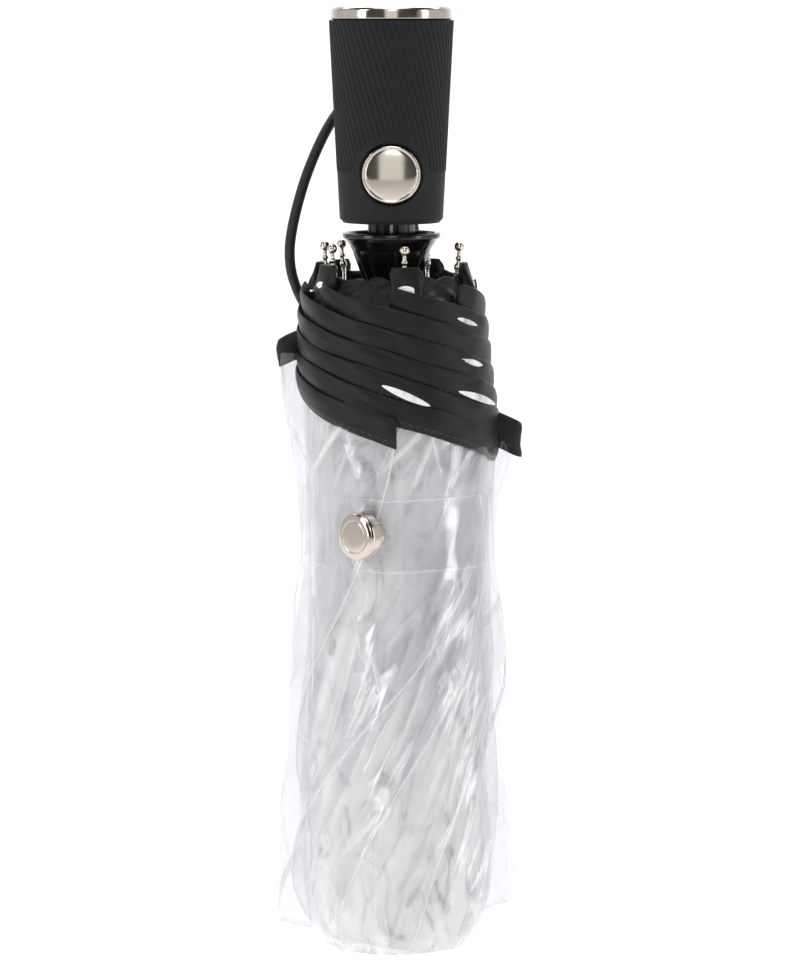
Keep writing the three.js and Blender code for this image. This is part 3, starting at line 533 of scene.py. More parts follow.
def film_material(name, tint, clearness, haze, crease_bump, shade=(0.968, 0.968, 0.974)):
    """Clear film: light passes head on, a mirror-like share comes back and grows at a slant, and thin
    white lines are painted along its creases and folded edges as painted highlights. The metal share of
    the one shader is the mirror's share of all that doesn't pass, so that clear film has shine and no haze
    of its own."""
    material, output, add, join = node_material(name)
    sheet = principled(add, tint, 0.07, **{"Specular IOR Level": 0.6})
    clear = add("BsdfTransparent", Color=(*shade, 1))
    place = add("UVMap", uv_map="UVMap").outputs[0]
    lines = 0.0
    for scale, angle, thin, cut in FILM_CREASE_HIGHLIGHTS:
        turn = add("Mapping", Rotation=(0, 0, math.radians(angle)))
        wave = add("TexWave", Scale=scale, Distortion=2.6, Detail=1.0)
        wave.inputs["Detail Scale"].default_value = 0.55
        sharp = ramp(add, 0.0, 1.0, thin, 1.0)
        where = ramp(add, 0.0, 1.0, cut, cut + 0.14)
        join(place, turn.inputs["Vector"])
        join(turn.outputs[0], wave.inputs["Vector"])
        join(wave.outputs["Fac"], sharp.inputs["Fac"])
        join(noise(add, join, turn.outputs[0], 14.0 + scale, 1.0), where.inputs["Fac"])
        both = math_node(add, join, "MULTIPLY", sharp.outputs["Color"], where.outputs["Color"])
        lines = math_node(add, join, "MAXIMUM", lines, both)
    edge = add("Attribute", attribute_name="edge").outputs["Fac"]
    # painted highlights: the crease lines and the edge marks, which turn the film white below
    marks = math_node(add, join, "MAXIMUM", lines, edge)
    swell = noise(add, join, place, 55.0, 2.0, Roughness=0.4, Distortion=0.8)
    bump = finish_bump(add, join, sheet, output, math_node(add, join, "ADD", swell, lines),
                       crease_bump, 1.6 * MM)
    slant = add("LayerWeight", Blend=0.5)
    join(bump.outputs["Normal"], slant.inputs["Normal"])
    bend = math_node(add, join, "POWER", slant.outputs["Facing"], 3.2)
    mirror = math_node(add, join, "MULTIPLY_ADD", bend, 0.55, 1 - clearness)
    mottle = ramp(add, 0.0, haze, 0.45, 0.75)
    join(noise(add, join, place, 34.0, 3.0, Roughness=0.55), mottle.inputs["Fac"])
    # the film's haze, plus painted highlights along the crease lines and marked edges
    haze_and_painted_highlights = math_node(add, join, "MULTIPLY_ADD", marks, 0.55, mottle.outputs["Color"])
    total = math_node(add, join, "ADD", mirror, haze_and_painted_highlights, use_clamp=True)
    join(math_node(add, join, "DIVIDE", mirror, total, use_clamp=True), sheet.inputs["Metallic"])
    mix = add("MixShader")
    join(total, mix.inputs[0])
    join(clear.outputs[0], mix.inputs[1])
    join(sheet.outputs[0], mix.inputs[2])
    join(mix.outputs[0], output.inputs[0])
    return material


def packed_film_material(tint):
    """The many inner layers of film seen together: pale, with soft grey patches and slow swells."""
    material, output, add, join = node_material("packed_film")
    shader = principled(add, tint, 0.32, **{"Coat Weight": 0.35, "Coat Roughness": 0.12})
    stretch = add("Mapping", Rotation=(0, math.radians(24), 0), Scale=(1.0, 1.0, 0.6))
    join(add("TexCoord").outputs["Object"], stretch.inputs["Vector"])
    tone = add("ValToRGB")
    ends = tone.color_ramp.elements
    ends[0].position, ends[0].color = 0.30, (0.47, 0.47, 0.485, 1)
    ends[1].position, ends[1].color = 0.62, (0.965, 0.962, 0.955, 1)
    ends.new(0.45).color = (0.86, 0.858, 0.855, 1)
    cells = add("TexVoronoi", Scale=70.0, feature="SMOOTH_F1")
    join(stretch.outputs[0], cells.inputs["Vector"])
    cloud = noise(add, join, stretch.outputs[0], 88.0, 6.0, Roughness=0.6, Distortion=1.6)
    join(cloud, tone.inputs["Fac"])
    join(tone.outputs["Color"], shader.inputs["Base Color"])
    finish_bump(add, join, shader, output, cells.outputs["Distance"], 0.55, 2 * MM)
    return material


_materials = {}


def finish_of(name):
    """The finish of that name, made once."""
    if name not in _materials:
        handle = bpy.context.scene.umbrella_handle
        canopy = bpy.context.scene.umbrella_canopy
        makers = {
            "rubber": lambda: rubber_material(handle.rubber),
            "metal": lambda: metal_material("champagne_metal", handle.metal, 0.07, 0.16),
            "steel": lambda: metal_material("plated_steel", (0.72, 0.73, 0.74), 0.12, 0.24),
            "rib": lambda: metal_material("satin_rib", (0.80, 0.81, 0.82), 0.28, 0.42),
            "plastic": lambda: plastic_material("black_plastic", handle.plastic, 0.16),
            "pale": lambda: plastic_material("pale_moulding", (0.80, 0.81, 0.82), 0.35),
            "fabric": lambda: fabric_material(canopy.fabric),
            "cord": lambda: cord_material(canopy.fabric),
            "film": lambda: film_material("clear_film", canopy.film, canopy.clearness, 0.05, 0.4),
            "flap": lambda: film_material("standing_film", canopy.film, 0.93, 0.24, 0.35,
                                          (0.885, 0.885, 0.91)),
            "strap": lambda: film_material("strap_film", canopy.film, canopy.clearness, 0.02, 0.1),
            "core": lambda: packed_film_material(canopy.film),
        }
        _materials[name] = makers[name]()
    return _materials[name]


def repaint(node, name):
    """Gives a carried-over node a finish."""
    thing = bpy.data.objects[node]
    thing.data.materials.clear()
    thing.data.materials.append(finish_of(name))


# ---------------------------------------------------------------- operators
class UmbrellaStageMaker(bpy.types.Operator):
    """Make the floor, the lights and the camera"""

    bl_idname = "umbrella.make_stage"
    bl_label = "Stage"

    def execute(self, context):
        stage = context.scene.umbrella_stage
        self.camera(context, stage.distance)
        self.floor()
        self.lights(stage.key)
        self.world(context)
        return {"FINISHED"}

    def camera(self, context, distance):
        """The camera stands level with the handle's cap and looks a little down at the middle."""
        data = bpy.data.cameras.new("camera")
        data.lens = 133.9
        data.sensor_width = 36
        thing = bpy.data.objects.new("camera", data)
        thing.location = (2.6 * MM, -distance, 0)
        look = Vector((2.6 * MM, 0, -146 * MM)) - thing.location
        thing.rotation_euler = look.to_track_quat("-Z", "Y").to_euler()
        context.scene.collection.objects.link(thing)
        context.scene.camera = thing

    def floor(self):
        """A flat floor that turns up into a wall behind: height = a quarter circle, then straight."""
        turn = np.linspace(0, math.pi / 2, 16)
        run = np.concatenate([[-3.0, -1.0], 1.2 + 0.8 * np.sin(turn), [2.0]])
        rise = np.concatenate([[0, 0], 0.8 - 0.8 * np.cos(turn), [3.5]]) - 0.450
        across = np.linspace(-3, 3, 3)
        points = np.stack(np.broadcast_arrays(across[None, :], run[:, None], rise[:, None]), -1)
        quads = grid_faces(len(run), len(across))[:, ::-1]
        mesh = bpy.data.meshes.new("floor")
        mesh.from_pydata(points.reshape(-1, 3).tolist(), [], quads.tolist())
        material, output, add, join = node_material("paper")
        join(principled(add, (0.93, 0.93, 0.93), 0.9).outputs[0], output.inputs[0])
        mesh.materials.append(material)
        thing = bpy.data.objects.new("floor", mesh)
        bpy.context.scene.collection.objects.link(thing)

    def lights(self, key):
        """Soft boxes to both sides and above, and a strip in front on the left."""
        target = Vector((0, 0, -0.15))
        boxes = (
            ("left_box", (-0.85, -0.55, 0.20), 0.30, 1.0, key, target),
            ("right_box", (0.95, -0.40, 0.05), 0.22, 1.0, key * 0.6, target),
            ("front_box", (0.05, -1.35, 0.62), 0.35, 0.5, key * 0.7, target),
            ("top_box", (0.0, -0.1, 0.9), 0.7, 0.5, key * 0.5, target),
            ("back_box", (0.0, 0.75, 0.95), 2.2, 0.7, key * 5.5, Vector((0, 1.35, -0.45))),
        )
        for name, place, wide, high, power, aim in boxes:
            data = bpy.data.lights.new(name, "AREA")
            data.shape = "RECTANGLE"
            data.size, data.size_y = wide, high
            data.energy = power
            thing = bpy.data.objects.new(name, data)
            thing.location = place
            thing.rotation_euler = (aim - thing.location).to_track_quat("-Z", "Y").to_euler()
            bpy.context.scene.collection.objects.link(thing)

    def world(self, context):
        """An even pale surround. Reflections see it darker in two upright bands beside the camera."""
        world = bpy.data.worlds.new("studio")
        world.use_nodes = True
        nodes, join = world.node_tree.nodes, world.node_tree.links.new
        back = nodes["Background"]
        back.inputs[0].default_value = (1, 1, 1, 1)
        place = nodes.new("ShaderNodeTexCoord")
        apart = nodes.new("ShaderNodeSeparateXYZ")
        side = nodes.new("ShaderNodeMath")
        side.operation = "ABSOLUTE"
        band = nodes.new("ShaderNodeValToRGB")
        stops = band.color_ramp.elements
        stops[0].position, stops[0].color = 0.17, (0.85, 0.85, 0.85, 1)
        stops[1].position, stops[1].color = 0.97, (0.60, 0.60, 0.60, 1)
        for at, tone in ((0.23, 0.09), (0.74, 0.05), (0.88, 0.60)):
            stops.new(at).color = (tone, tone, tone, 1)
        path = nodes.new("ShaderNodeLightPath")
        pick = nodes.new("ShaderNodeMix")
        pick.inputs["A"].default_value = 0.62
        join(place.outputs["Generated"], apart.inputs[0])
        join(apart.outputs["X"], side.inputs[0])
        join(side.outputs[0], band.inputs[0])
        join(path.outputs["Is Glossy Ray"], pick.inputs["Factor"])
        join(band.outputs[0], pick.inputs["B"])
        join(pick.outputs[0], back.inputs[1])
        context.scene.world = world
        context.scene.view_settings.view_transform = "Standard"
        context.scene.cycles.transparent_max_bounces = 32


class UmbrellaCapMaker(bpy.types.Operator):
    """Make the metal cap that closes the handle"""

    bl_idname = "umbrella.make_cap"
    bl_label = "Handle cap"

    def execute(self, context):
        low = GRIP_TOP + 0.02 * MM  # down to the sleeve
        edge = rounded([
            (0, 0), (CAP_RADIUS - 1.4 * MM, 0), (CAP_RADIUS - 0.5 * MM, -0.35 * MM),
            (CAP_RADIUS, -1.1 * MM), (CAP_RADIUS, low + 0.5 * MM),
            (CAP_RADIUS - 0.35 * MM, low + 0.1 * MM), (CAP_RADIUS - 1.2 * MM, low), (0, low),
        ], 0.45 * MM)
        lathe("end_cap_polished", edge, "handle", finish_of("metal"),
              around=160, replaces=("end_cap",))
        return {"FINISHED"}


class UmbrellaGripMaker(bpy.types.Operator):
    """Make the fluted rubber grip"""

    bl_idname = "umbrella.make_grip"
    bl_label = "Grip"

    def execute(self, context):
        """Radius = the taper, less the flutes' depth, less the well that the button sits in.
        A flute's section is a rounded ridge between narrow valleys."""
        handle = context.scene.umbrella_handle
        around, rise = handle.flutes * 10, 260
        turn = np.linspace(0, TAU, around, endpoint=False)[None, :]
        z = np.linspace(GRIP_TOP, GRIP_END, rise)[:, None]
        top = BOX["grip_sleeve"][1][0]
        taper = top + (GRIP_FOOT - top) * (GRIP_TOP - z) / (GRIP_TOP - GRIP_END)
        lean = math.tan(handle.flute_lean) / GRIP_MEAN
        flute = (0.5 + 0.5 * np.cos(handle.flutes * (turn + lean * (z - GRIP_TOP)))) ** 2.2
        off = np.hypot(taper * np.cos(turn), z - BUTTON_Z)
        front = taper * np.sin(turn) < 0
        clear = np.where(front, smooth_step(11.1 * MM, 11.7 * MM, off), 1)
        above_band = smooth_step(GRIP_BAND - 0.5 * MM, GRIP_BAND, z)
        below_top = smooth_step(GRIP_TOP - 0.1 * MM, GRIP_TOP - 0.5 * MM, z)
        radius = taper - handle.flute_depth * flute * (clear * above_band * below_top)
        radius = radius - 0.12 * MM * (1 - above_band) * clear
        well = np.where(front, 1 - smooth_step(9.15 * MM, 9.45 * MM, off), 0)
        lip = np.where(front, line_at(off - 9.75 * MM, 0.35 * MM, 1), 0)
        radius = radius - well * 4.6 * MM + lip * 0.12 * MM
        radius = radius - smooth_step(GRIP_END + 1.3 * MM, GRIP_END, z) * 0.9 * MM

        def rings(*sizes):
            return np.stack([
                np.stack(np.broadcast_arrays(r * np.cos(turn[0]), r * np.sin(turn[0]), h), -1)
                for r, h in sizes])

        points = np.concatenate([
            rings((16.4 * MM, GRIP_TOP), (18.2 * MM, GRIP_TOP)),
            np.stack(np.broadcast_arrays(radius * np.cos(turn), radius * np.sin(turn), z), -1),
            rings((14.5 * MM, GRIP_END - 0.05 * MM), (13.2 * MM, GRIP_END)),
        ])
        quads = grid_faces(len(points), around, closed_columns=True)
        piece("grip_fluted", points, "handle", finish_of("rubber"), quads,
              turn_uv(len(points), around), replaces=("grip_sleeve",), weld=False)
        repaint("handle_core", "plastic")
        return {"FINISHED"}


class UmbrellaButtonMaker(bpy.types.Operator):
    """Make the polished push button and its spring"""

    bl_idname = "umbrella.make_button"
    bl_label = "Push button"

    def execute(self, context):
        back, front = BOX["push_button"][1][1], BOX["push_button"][0][1]
        deep = back - front
        r = BUTTON_RADIUS
        share = np.linspace(1, 0, 12)
        dome = [((r - 1.25 * MM) * s, deep - 0.75 * MM + 0.75 * MM * (1 - s * s)) for s in share]
        rim = rounded([
            (0, 0), (r - 0.2 * MM, 0), (r, 0.4 * MM), (r, deep - 0.95 * MM),
            (r - 0.35 * MM, deep - 0.55 * MM), (r - 0.8 * MM, deep - 0.55 * MM),
            (r - 1.1 * MM, deep - 0.85 * MM), dome[0],
        ], 0.2 * MM)
        lathe("push_button_polished", np.concatenate([rim, dome[1:]]), "button",
              finish_of("metal"), origin=(0, back, BUTTON_Z), axis=(0, -1, 0), around=128,
              replaces=("push_button",))
        self.spring()
        return {"FINISHED"}

    def spring(self):
        """A coil of three turns behind the button: (r sin a, depth * a / turns, r cos a)."""
        low, high = BOX["button_spring"]
        wire = 0.2 * MM
        turn = np.linspace(0, 3 * TAU, 145)
        radius = (high[0] - low[0]) / 2 - wire
        depth = low[1] + wire + (high[1] - low[1] - 2 * wire) * turn / turn[-1]
        path = np.stack([radius * np.sin(turn), depth, BUTTON_Z + radius * np.cos(turn)], -1)
        coil = tube_along("button_spring_coil", path, wire, "handle", finish_of("steel"),
                          replaces=("button_spring",))
        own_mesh(coil)


class UmbrellaCupMaker(bpy.types.Operator):
    """Make the glossy cup that the rib tips close round"""

    bl_idname = "umbrella.make_cup"
    bl_label = "Tip cup"

    def execute(self, context):
        bore, foot, rim = 5.8 * MM, 8.6 * MM, CUP_RADIUS
        profile = rounded([
            (bore, CUP_END), (foot, CUP_END), (rim - 2.9 * MM, CUP_TOP - 5.0 * MM),
            (rim - 1.0 * MM, CUP_TOP - 2.1 * MM), (rim, CUP_TOP - 1.5 * MM), (rim, CUP_TOP - 0.1 * MM),
            (rim - 1.1 * MM, CUP_TOP), (rim - 3.2 * MM, CUP_TOP - 1.8 * MM),
            (8.4 * MM, CUP_TOP - 2.0 * MM), (bore, CUP_TOP - 2.0 * MM),
        ], 0.5 * MM)
        lathe("tip_cup_moulded", profile, "handle", finish_of("plastic"),
              closed=True, replaces=("tip_cup",))
        return {"FINISHED"}


class UmbrellaShaftMaker(bpy.types.Operator):
    """Make the telescoping tubes and finish the runner, crown and ferrule"""

    bl_idname = "umbrella.make_shaft"
    bl_label = "Shaft"

    def execute(self, context):
        for name in ("lower_tube", "middle_tube", "upper_tube"):
            low, high = BOX[name]
            outer, inner = high[0], high[0] - 0.5 * MM
            profile = rounded([
                (inner, low[2]), (outer, low[2]), (outer, high[2]), (inner, high[2]), (inner, low[2]),
            ], 0.12 * MM, 2)
            body = "handle" if name == "lower_tube" else name
            lathe(name + "_plated", profile, body, finish_of("steel"), around=72,
                  closed=True, replaces=(name,))
        for name in ("runner", "crown", "ferrule"):
            repaint(name, "pale")
        repaint("drive_spring", "steel")
        return {"FINISHED"}


def tube_along(name, path, radius, body, material, sides=12, replaces=()):
    """A round section carried along a path: point = path + radius * (cos a * side + sin a * up), with
    side and up square to the path. radius may change along it."""
    path = np.asarray(path, float)
    radius = np.broadcast_to(np.asarray(radius, float), len(path))[:, None, None]
    along = np.gradient(path, axis=0)
    along /= np.linalg.norm(along, axis=1)[:, None]
    hint = np.array([0.0, 0.0, 1.0]) if abs(along[0, 2]) < 0.7 else np.array([1.0, 0.0, 0.0])
    side = np.cross(along, hint)
    side /= np.linalg.norm(side, axis=1)[:, None]
    up = np.cross(along, side)
    turn = np.linspace(0, TAU, sides, endpoint=False)[None, :, None]
    points = path[:, None] + radius * (np.cos(turn) * side[:, None] + np.sin(turn) * up[:, None])
    ends = [path[n] + 0 * points[:1] for n in (0, -1)]
    points = np.concatenate([ends[0], points, ends[1]])
    quads = facing_out(points, grid_faces(len(points), sides, closed_columns=True), path[0])
    return piece(name, points, body, material, quads, replaces=replaces)


class UmbrellaRibMaker(bpy.types.Operator):
    """Make the outer ribs with their ball tips, and finish the other ribs"""

    bl_idname = "umbrella.make_ribs"
    bl_label = "Ribs"

    def execute(self, context):
        for k in range(RIBS):
            self.outer_rib(k)
            for kind in ("top_rib", "middle_rib", "stretcher"):
                repaint(f"{kind}_{k + 1}", "rib")
        return {"FINISHED"}

    def outer_rib(self, k):
        """The wire runs from the knee's eye through its bend to the tip. The tip is turned about the
        wire's own line: collar, waisted stem and ball."""
        body = f"outer_rib_{k + 1}"
        start = rib_azimuth(k)
        end = math.radians(TIP_AZIMUTHS[k])
        knee, bend = (Vector((r * math.cos(start), r * math.sin(start), z)) for r, z in (KNEE, WIRE_BEND))
        tip = Vector((TIP_RADIUS * math.cos(end), TIP_RADIUS * math.sin(end), TIP_Z))
        up = (tip - bend).normalized()
        foot = tip - up * 6.9 * MM
        path = rounded([knee, bend, foot], 12 * MM, 10)
        tube_along(f"rib_wire_{k + 1}", path, WIRE_RADIUS, body, finish_of("steel"),
                   replaces=(body,))
        eye = [(0, -1.3 * MM), (1.5 * MM, -1.3 * MM), (1.75 * MM, -1.05 * MM), (1.75 * MM, 1.05 * MM),
               (1.5 * MM, 1.3 * MM), (0, 1.3 * MM)]
        lathe(f"rib_eye_{k + 1}", eye, body, finish_of("rib"), origin=knee,
              axis=(-math.sin(start), math.cos(start), 0), around=32)
        ball = 1.5 * MM
        arc = [(ball * math.cos(a), ball * math.sin(a)) for a in np.radians(np.linspace(-66, 90, 20))]
        arc[-1] = (0, ball)
        profile = [
            (0, -7.2 * MM), (1.0 * MM, -7.2 * MM), (1.3 * MM, -6.8 * MM), (1.3 * MM, -5.6 * MM),
            (0.95 * MM, -5.2 * MM), (0.62 * MM, -4.9 * MM), (0.62 * MM, -4.1 * MM), (0.95 * MM, -3.9 * MM),
            (0.95 * MM, -3.3 * MM), (0.58 * MM, -3.0 * MM), (0.55 * MM, -1.5 * MM), *arc,
        ]
        lathe(f"rib_tip_{k + 1}", profile, body, finish_of("metal"),
              origin=tip, axis=up, around=48)


def curve_through(points, steps):
    """The curve through the points whose slope at each is half the step between its neighbours."""
    padded = np.concatenate([[2 * points[0] - points[1]], points, [2 * points[-1] - points[-2]]])
    t = np.linspace(0, 1, steps, endpoint=False)[None, :, None]
    a, b, c, d = (padded[n:len(padded) - 3 + n][:, None] for n in range(4))
    line = 0.5 * (2 * b + (c - a) * t + (2 * a - 5 * b + 4 * c - d) * t**2
                  + (3 * b - a - 3 * c + d) * t**3)
    return np.concatenate([line.reshape(-1, 3), points[-1:]])


CORD_ROUTE = np.array([
    (-3.2, 15.2, -22), (-3.2, 18.6, -22), (-4.2, 22.2, -22.7), (-7.2, 24.7, -24.4),
    (-11.4, 24.6, -27.2), (-15.4, 21.8, -30.9), (-19, 18, -36), (-22.6, 14.4, -43),
    (-26.3, 11.4, -52.3), (-29.2, 9.6, -62.4), (-30.9, 9.2, -71.6), (-30.8, 11, -79.2),
    (-29.2, 14.4, -85.6), (-26.6, 18.6, -91.4), (-22.8, 23.2, -97.6), (-17.6, 27.4, -104.4),
    (-11, 30.4, -110.4), (-3.6, 32, -114), (3, 32.2, -113.6), (8, 31.6, -109.4),
    (10.4, 30.6, -102.4), (10.4, 29.6, -93.6), (9, 28.6, -83), (7.2, 27.6, -71),
    (5.6, 26.8, -58), (4.4, 26.2, -46), (3.6, 25.8, -36), (3.3, 24.8, -28.8),
    (3.2, 22.2, -23.6), (3.2, 18.6, -22), (3.2, 15.2, -22),
]) * MM
CORD_DIAMETER = 3.2 * MM


class UmbrellaCordMaker(bpy.types.Operator):
    """Make the wrist cord"""

    bl_idname = "umbrella.make_cord"
    bl_label = "Wrist cord"

    def execute(self, context):
        """The cord is one smooth curve through its route's points."""
        curve = bpy.data.curves.new("wrist_cord_braided", "CURVE")
        curve.dimensions = "3D"
        curve.bevel_depth = CORD_DIAMETER / 2
        curve.bevel_resolution = 5
        curve.resolution_u = 8
        curve.use_fill_caps = True
        line = curve_through(CORD_ROUTE, 6)
        spline = curve.splines.new("POLY")
        spline.points.add(len(line) - 1)
        spline.points.foreach_set("co", np.column_stack([line, np.ones(len(line))]).ravel())
        curve.materials.append(finish_of("cord"))
        thing = bpy.data.objects.new("wrist_cord_braided", curve)
        context.scene.collection.objects.link(thing)
        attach(thing, "handle")
        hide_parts("wrist_cord")
        return {"FINISHED"}


class UmbrellaCoreMaker(bpy.types.Operator):
    """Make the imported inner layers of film"""

    bl_idname = "umbrella.make_core"
    bl_label = "Packed film"

    def execute(self, context):
        for k in range(RIBS):
            self.lobe(context, k)
        return {"FINISHED"}

    def lobe(self, context, k):
        """One rib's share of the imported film: a wedge whose outside is the bundle's outline, drawn in by
        its covering layers and crumpled, and whose inside clears the rib's wire. Rows run up it, and
        columns go round its section."""
        depth = context.scene.umbrella_canopy.crease
        rows, half = 110, math.radians(RIB_STEP / 2) * 1.02
        z = np.linspace(-118 * MM, -286 * MM, rows)[:, None]
        middle = rib_azimuth(k)
        turn = np.linspace(-half, half, 44)[None, :]
        azimuth = middle + turn
        outer = np.minimum(outline(z) - 3.6 * MM, 27.0 * MM)
        crumple = 0.9 * MM * waves(azimuth, z, 11, count=9, low=3, high=12)
        radius = outer + creases(azimuth, z, depth * 0.5) + crumple
        inner = np.interp(-z, CORE_Z, CORE_R)
        radius = np.maximum(radius, inner + 1.0 * MM)
        outside = around_shaft(azimuth, radius, z)
        plain = np.linspace(half, -half, 8)[None, :] + middle
        inside = np.stack(np.broadcast_arrays(inner * np.cos(plain), inner * np.sin(plain), z), -1)
        points = np.concatenate([outside, inside], axis=1)
        points = np.concatenate([gathered(points[:1]), points, gathered(points[-1:])])
        quads = facing_out(points, grid_faces(*points.shape[:2], closed_columns=True))
        piece(f"film_core_{k + 1}", points, f"outer_rib_{k + 1}", finish_of("core"),
              quads, replaces=(f"film_panel_{k + 1}",))


class UmbrellaFilmMaker(bpy.types.Operator):
    """Make the outer layers of film, each a fold carried round the bundle"""

    bl_idname = "umbrella.make_film"
    bl_label = "Film"

    def execute(self, context):
        for k in range(RIBS):
            self.fold(context, k)
        return {"FINISHED"}

    def fold(self, context, k):
        """Panel k goes round from its rib to its fold and a little way back under itself. Along the
        section, the turn grows in a straight line to the fold and then goes back; the radius follows
        layer_radius, less one thickness on the way back."""
        depth = context.scene.umbrella_canopy.crease
        rows, columns = 130, 190
        start = rib_azimuth(k)
        turn_back = 0.80
        first = math.radians(95)  # the part nearer the rib lies under other layers
        near = np.linspace(-0.02, 0.02, 17) + turn_back
        share = np.sort(np.concatenate([np.linspace(0, 1, columns - 17), near]))[None, :]
        down = np.linspace(0, 1, rows)[:, None]
        out = np.minimum(share / turn_back, 1)
        back = np.maximum((share - turn_back) / (1 - turn_back), 0)
        guess = first + (math.radians(FOLD_REACH[k]) - first) * out
        top = hem_height(k, guess) - 1.0 * MM
        foot = (-287.5 + 4.5 * np.sin(start + guess + 0.6 * k)) * MM
        z = top + (foot - top) * down
        reach = reach_at(k, z)
        low = np.minimum(first, reach - math.radians(70))
        returned = math.radians(46) * back
        turned = low + (reach - low) * out - returned
        azimuth = start + turned
        radius = layer_radius(turned + returned, z)
        bulge = 0.35 * MM * np.sqrt(np.clip(np.minimum(1 - out, 0.02) / 0.02, 0, 1))
        radius = radius + bulge - 0.55 * MM * smooth_step(0, 0.2, back)
        own = 0.32 * MM * waves(azimuth, z, 40 + k, low=3, high=11)
        radius = radius + creases(azimuth, z, depth) + own
        strap = np.exp(-((z - STRAP_Z) / (11 * MM)) ** 4)
        radius = np.where(radius > 28.2 * MM, radius - strap * (radius - 28.2 * MM) * 0.85, radius)
        stand = smooth_step(0.70, 1, out) * (1 - smooth_step(0, 0.5, back))
        stand = stand * (0.25 + smooth_step(0.178, 0.21, -z)) * (1 - 0.8 * smooth_step(0.27, 0.288, -z))
        radius = radius + 2.3 * MM * stand * (1 - strap)
        # painted highlights: white marks along the fold's turn and the lower edge, carried by the edge
        # attribute
        edge = np.maximum(line_at(share - turn_back, 0.004, 0.95), line_at(1 - down, 0.006, 0.8))
        points = around_shaft(azimuth, radius, z)
        thing = piece(f"film_layer_{k + 1}", points, f"outer_rib_{k + 1}",
                      finish_of("film"), grid_faces(rows, columns), grid_uv(turned * 30 * MM, z),
                      edge=edge * np.ones_like(z))


def tape(name, k, points, along, across, replaces=()):
    """A tape's surface with both ends closed. Its UV runs along and across it, in metres."""
    points = np.concatenate([gathered(points[:1]), points, gathered(points[-1:])])
    along = np.concatenate([along[:1], along, along[-1:]])
    quads = facing_out(points, grid_faces(*points.shape[:2], closed_columns=True))
    piece(name, points, f"outer_rib_{k + 1}", finish_of("fabric"), quads,
          grid_uv(along, across), replaces=replaces)


class UmbrellaBindingMaker(bpy.types.Operator):
    """Make the bound edge, wound round in bands"""

    bl_idname = "umbrella.make_binding"
    bl_label = "Edge binding"

    def execute(self, context):
        for k in range(RIBS):
            self.band(context, k)
        return {"FINISHED"}

    def band(self, context, k):
        """A tape folded over the film's edge: a flat closed section carried along the edge. It goes
        round to its fold, turns in a tight hairpin of depth d and comes a little way back: with u
        measured from the fold, turned = last - (sqrt(u^2 + e^2) - e) / r, and it drops inwards by
        d / 2 * (1 + tanh(u / e))."""
        width = context.scene.umbrella_canopy.tape
        steps, section, back_length, depth, tight = 330, 26, 15 * MM, 1.9 * MM, 0.75 * MM
        around = 27 * MM
        first, last = math.radians(-14), math.radians(FOLD_REACH[k])
        u = np.concatenate([
            np.linspace(-(last - first) * around, -3 * MM, steps - 70),
            np.linspace(-2.9 * MM, 2.9 * MM, 40), np.linspace(3 * MM, back_length, 30)])[:, None]
        turned = last - (np.sqrt(u**2 + tight**2) - tight) / around
        drop = depth / 2 * (1 + np.tanh(u / tight))
        start = rib_azimuth(k)
        azimuth = start + turned
        slack = waves(azimuth, 0 * turned, 60 + k, low=2, high=6)
        middle = hem_height(k, turned) + 0.8 * MM * slack + 0.22 * np.maximum(u, 0)
        turn = np.linspace(0, TAU, section, endpoint=False)[None, :]
        across, through = squared(np.cos(turn), 0.62), squared(np.sin(turn), 0.85)
        taper = smooth_step(first, first + 0.12, turned)
        uneven = 1 + 0.10 * waves(azimuth, 0 * turned, 70 + k, low=3, high=9)
        high = width / 2 * (0.55 + 0.45 * taper) * uneven
        z = middle + across * high
        pleat = 0.34 * MM * waves(azimuth, 2.2 * z, 80 + k, count=8, low=4, high=15)
        crown = 0.45 * MM * (1 - across**2) * np.where(through > 0, 1, 0.3)
        tilt = 0.5 * MM * across
        stand = 1.5 * MM * smooth_step(-9 * MM, 0, u) * (k == 1)
        radius = (layer_radius(turned, middle) + 0.5 * MM + through * 0.42 * MM + pleat + tilt
                  + crown - drop + stand)
        points = around_shaft(azimuth, radius, z)
        tape(f"edge_tape_{k + 1}", k, points, u, across * width / 2, (f"edge_binding_{k + 1}",))


def hairpin(azimuth, root, tip, gap, t, lean=0.0):
    """Plan positions along a fold that stands out from the bundle. It leaves at radius root, turns at
    radius tip and comes back: r = root + (tip - root) * sin(pi t)^0.6, and its two legs stand gap
    apart, s = gap / 2 * cos(pi t) * (0.55 + 0.45 sin(pi t)) + lean * (r - root)."""
    swing = np.sin(math.pi * np.clip(t, 1e-6, 1 - 1e-6)) ** 0.6
    r = root + (tip - root) * swing
    s = gap / 2 * np.cos(math.pi * t) * (0.55 + 0.9 * np.sin(math.pi * t)) + lean * (r - root)
    x = r * math.cos(azimuth) - s * math.sin(azimuth)
    y = r * math.sin(azimuth) + s * math.cos(azimuth)
    return x, y, swing


# a fold that stands out: rib, azimuth, root radius, legs apart, the tape's heights at root and tip, its
# height, and the film's outer radius at heights from the tape down
FLAPS = (
    (5, 181, 24.5, 5.2, (-100.0, -104.2), 8.6, (
        (-104, 34.3), (-115, 33.2), (-131, 31.2), (-143, 28.8), (-160, 28.0), (-172, 28.4), (-180, 29.8),
        (-195, 31.0), (-210, 31.4), (-222, 31.8), (-240, 34.0), (-252, 35.0), (-266, 35.4), (-281, 34.6))),
    (2, -6, 27.5, 5.6, (-125.0, -130.5), 10.4, (
        (-130, 39.2), (-138, 36.4), (-149, 32.6), (-165, 32.0), (-176, 32.8), (-186, 34.6), (-195, 35.6),
        (-207, 35.2), (-220, 33.0), (-232, 34.4), (-251, 36.6), (-264, 38.2), (-271, 37.8), (-275, 35.0))),
)


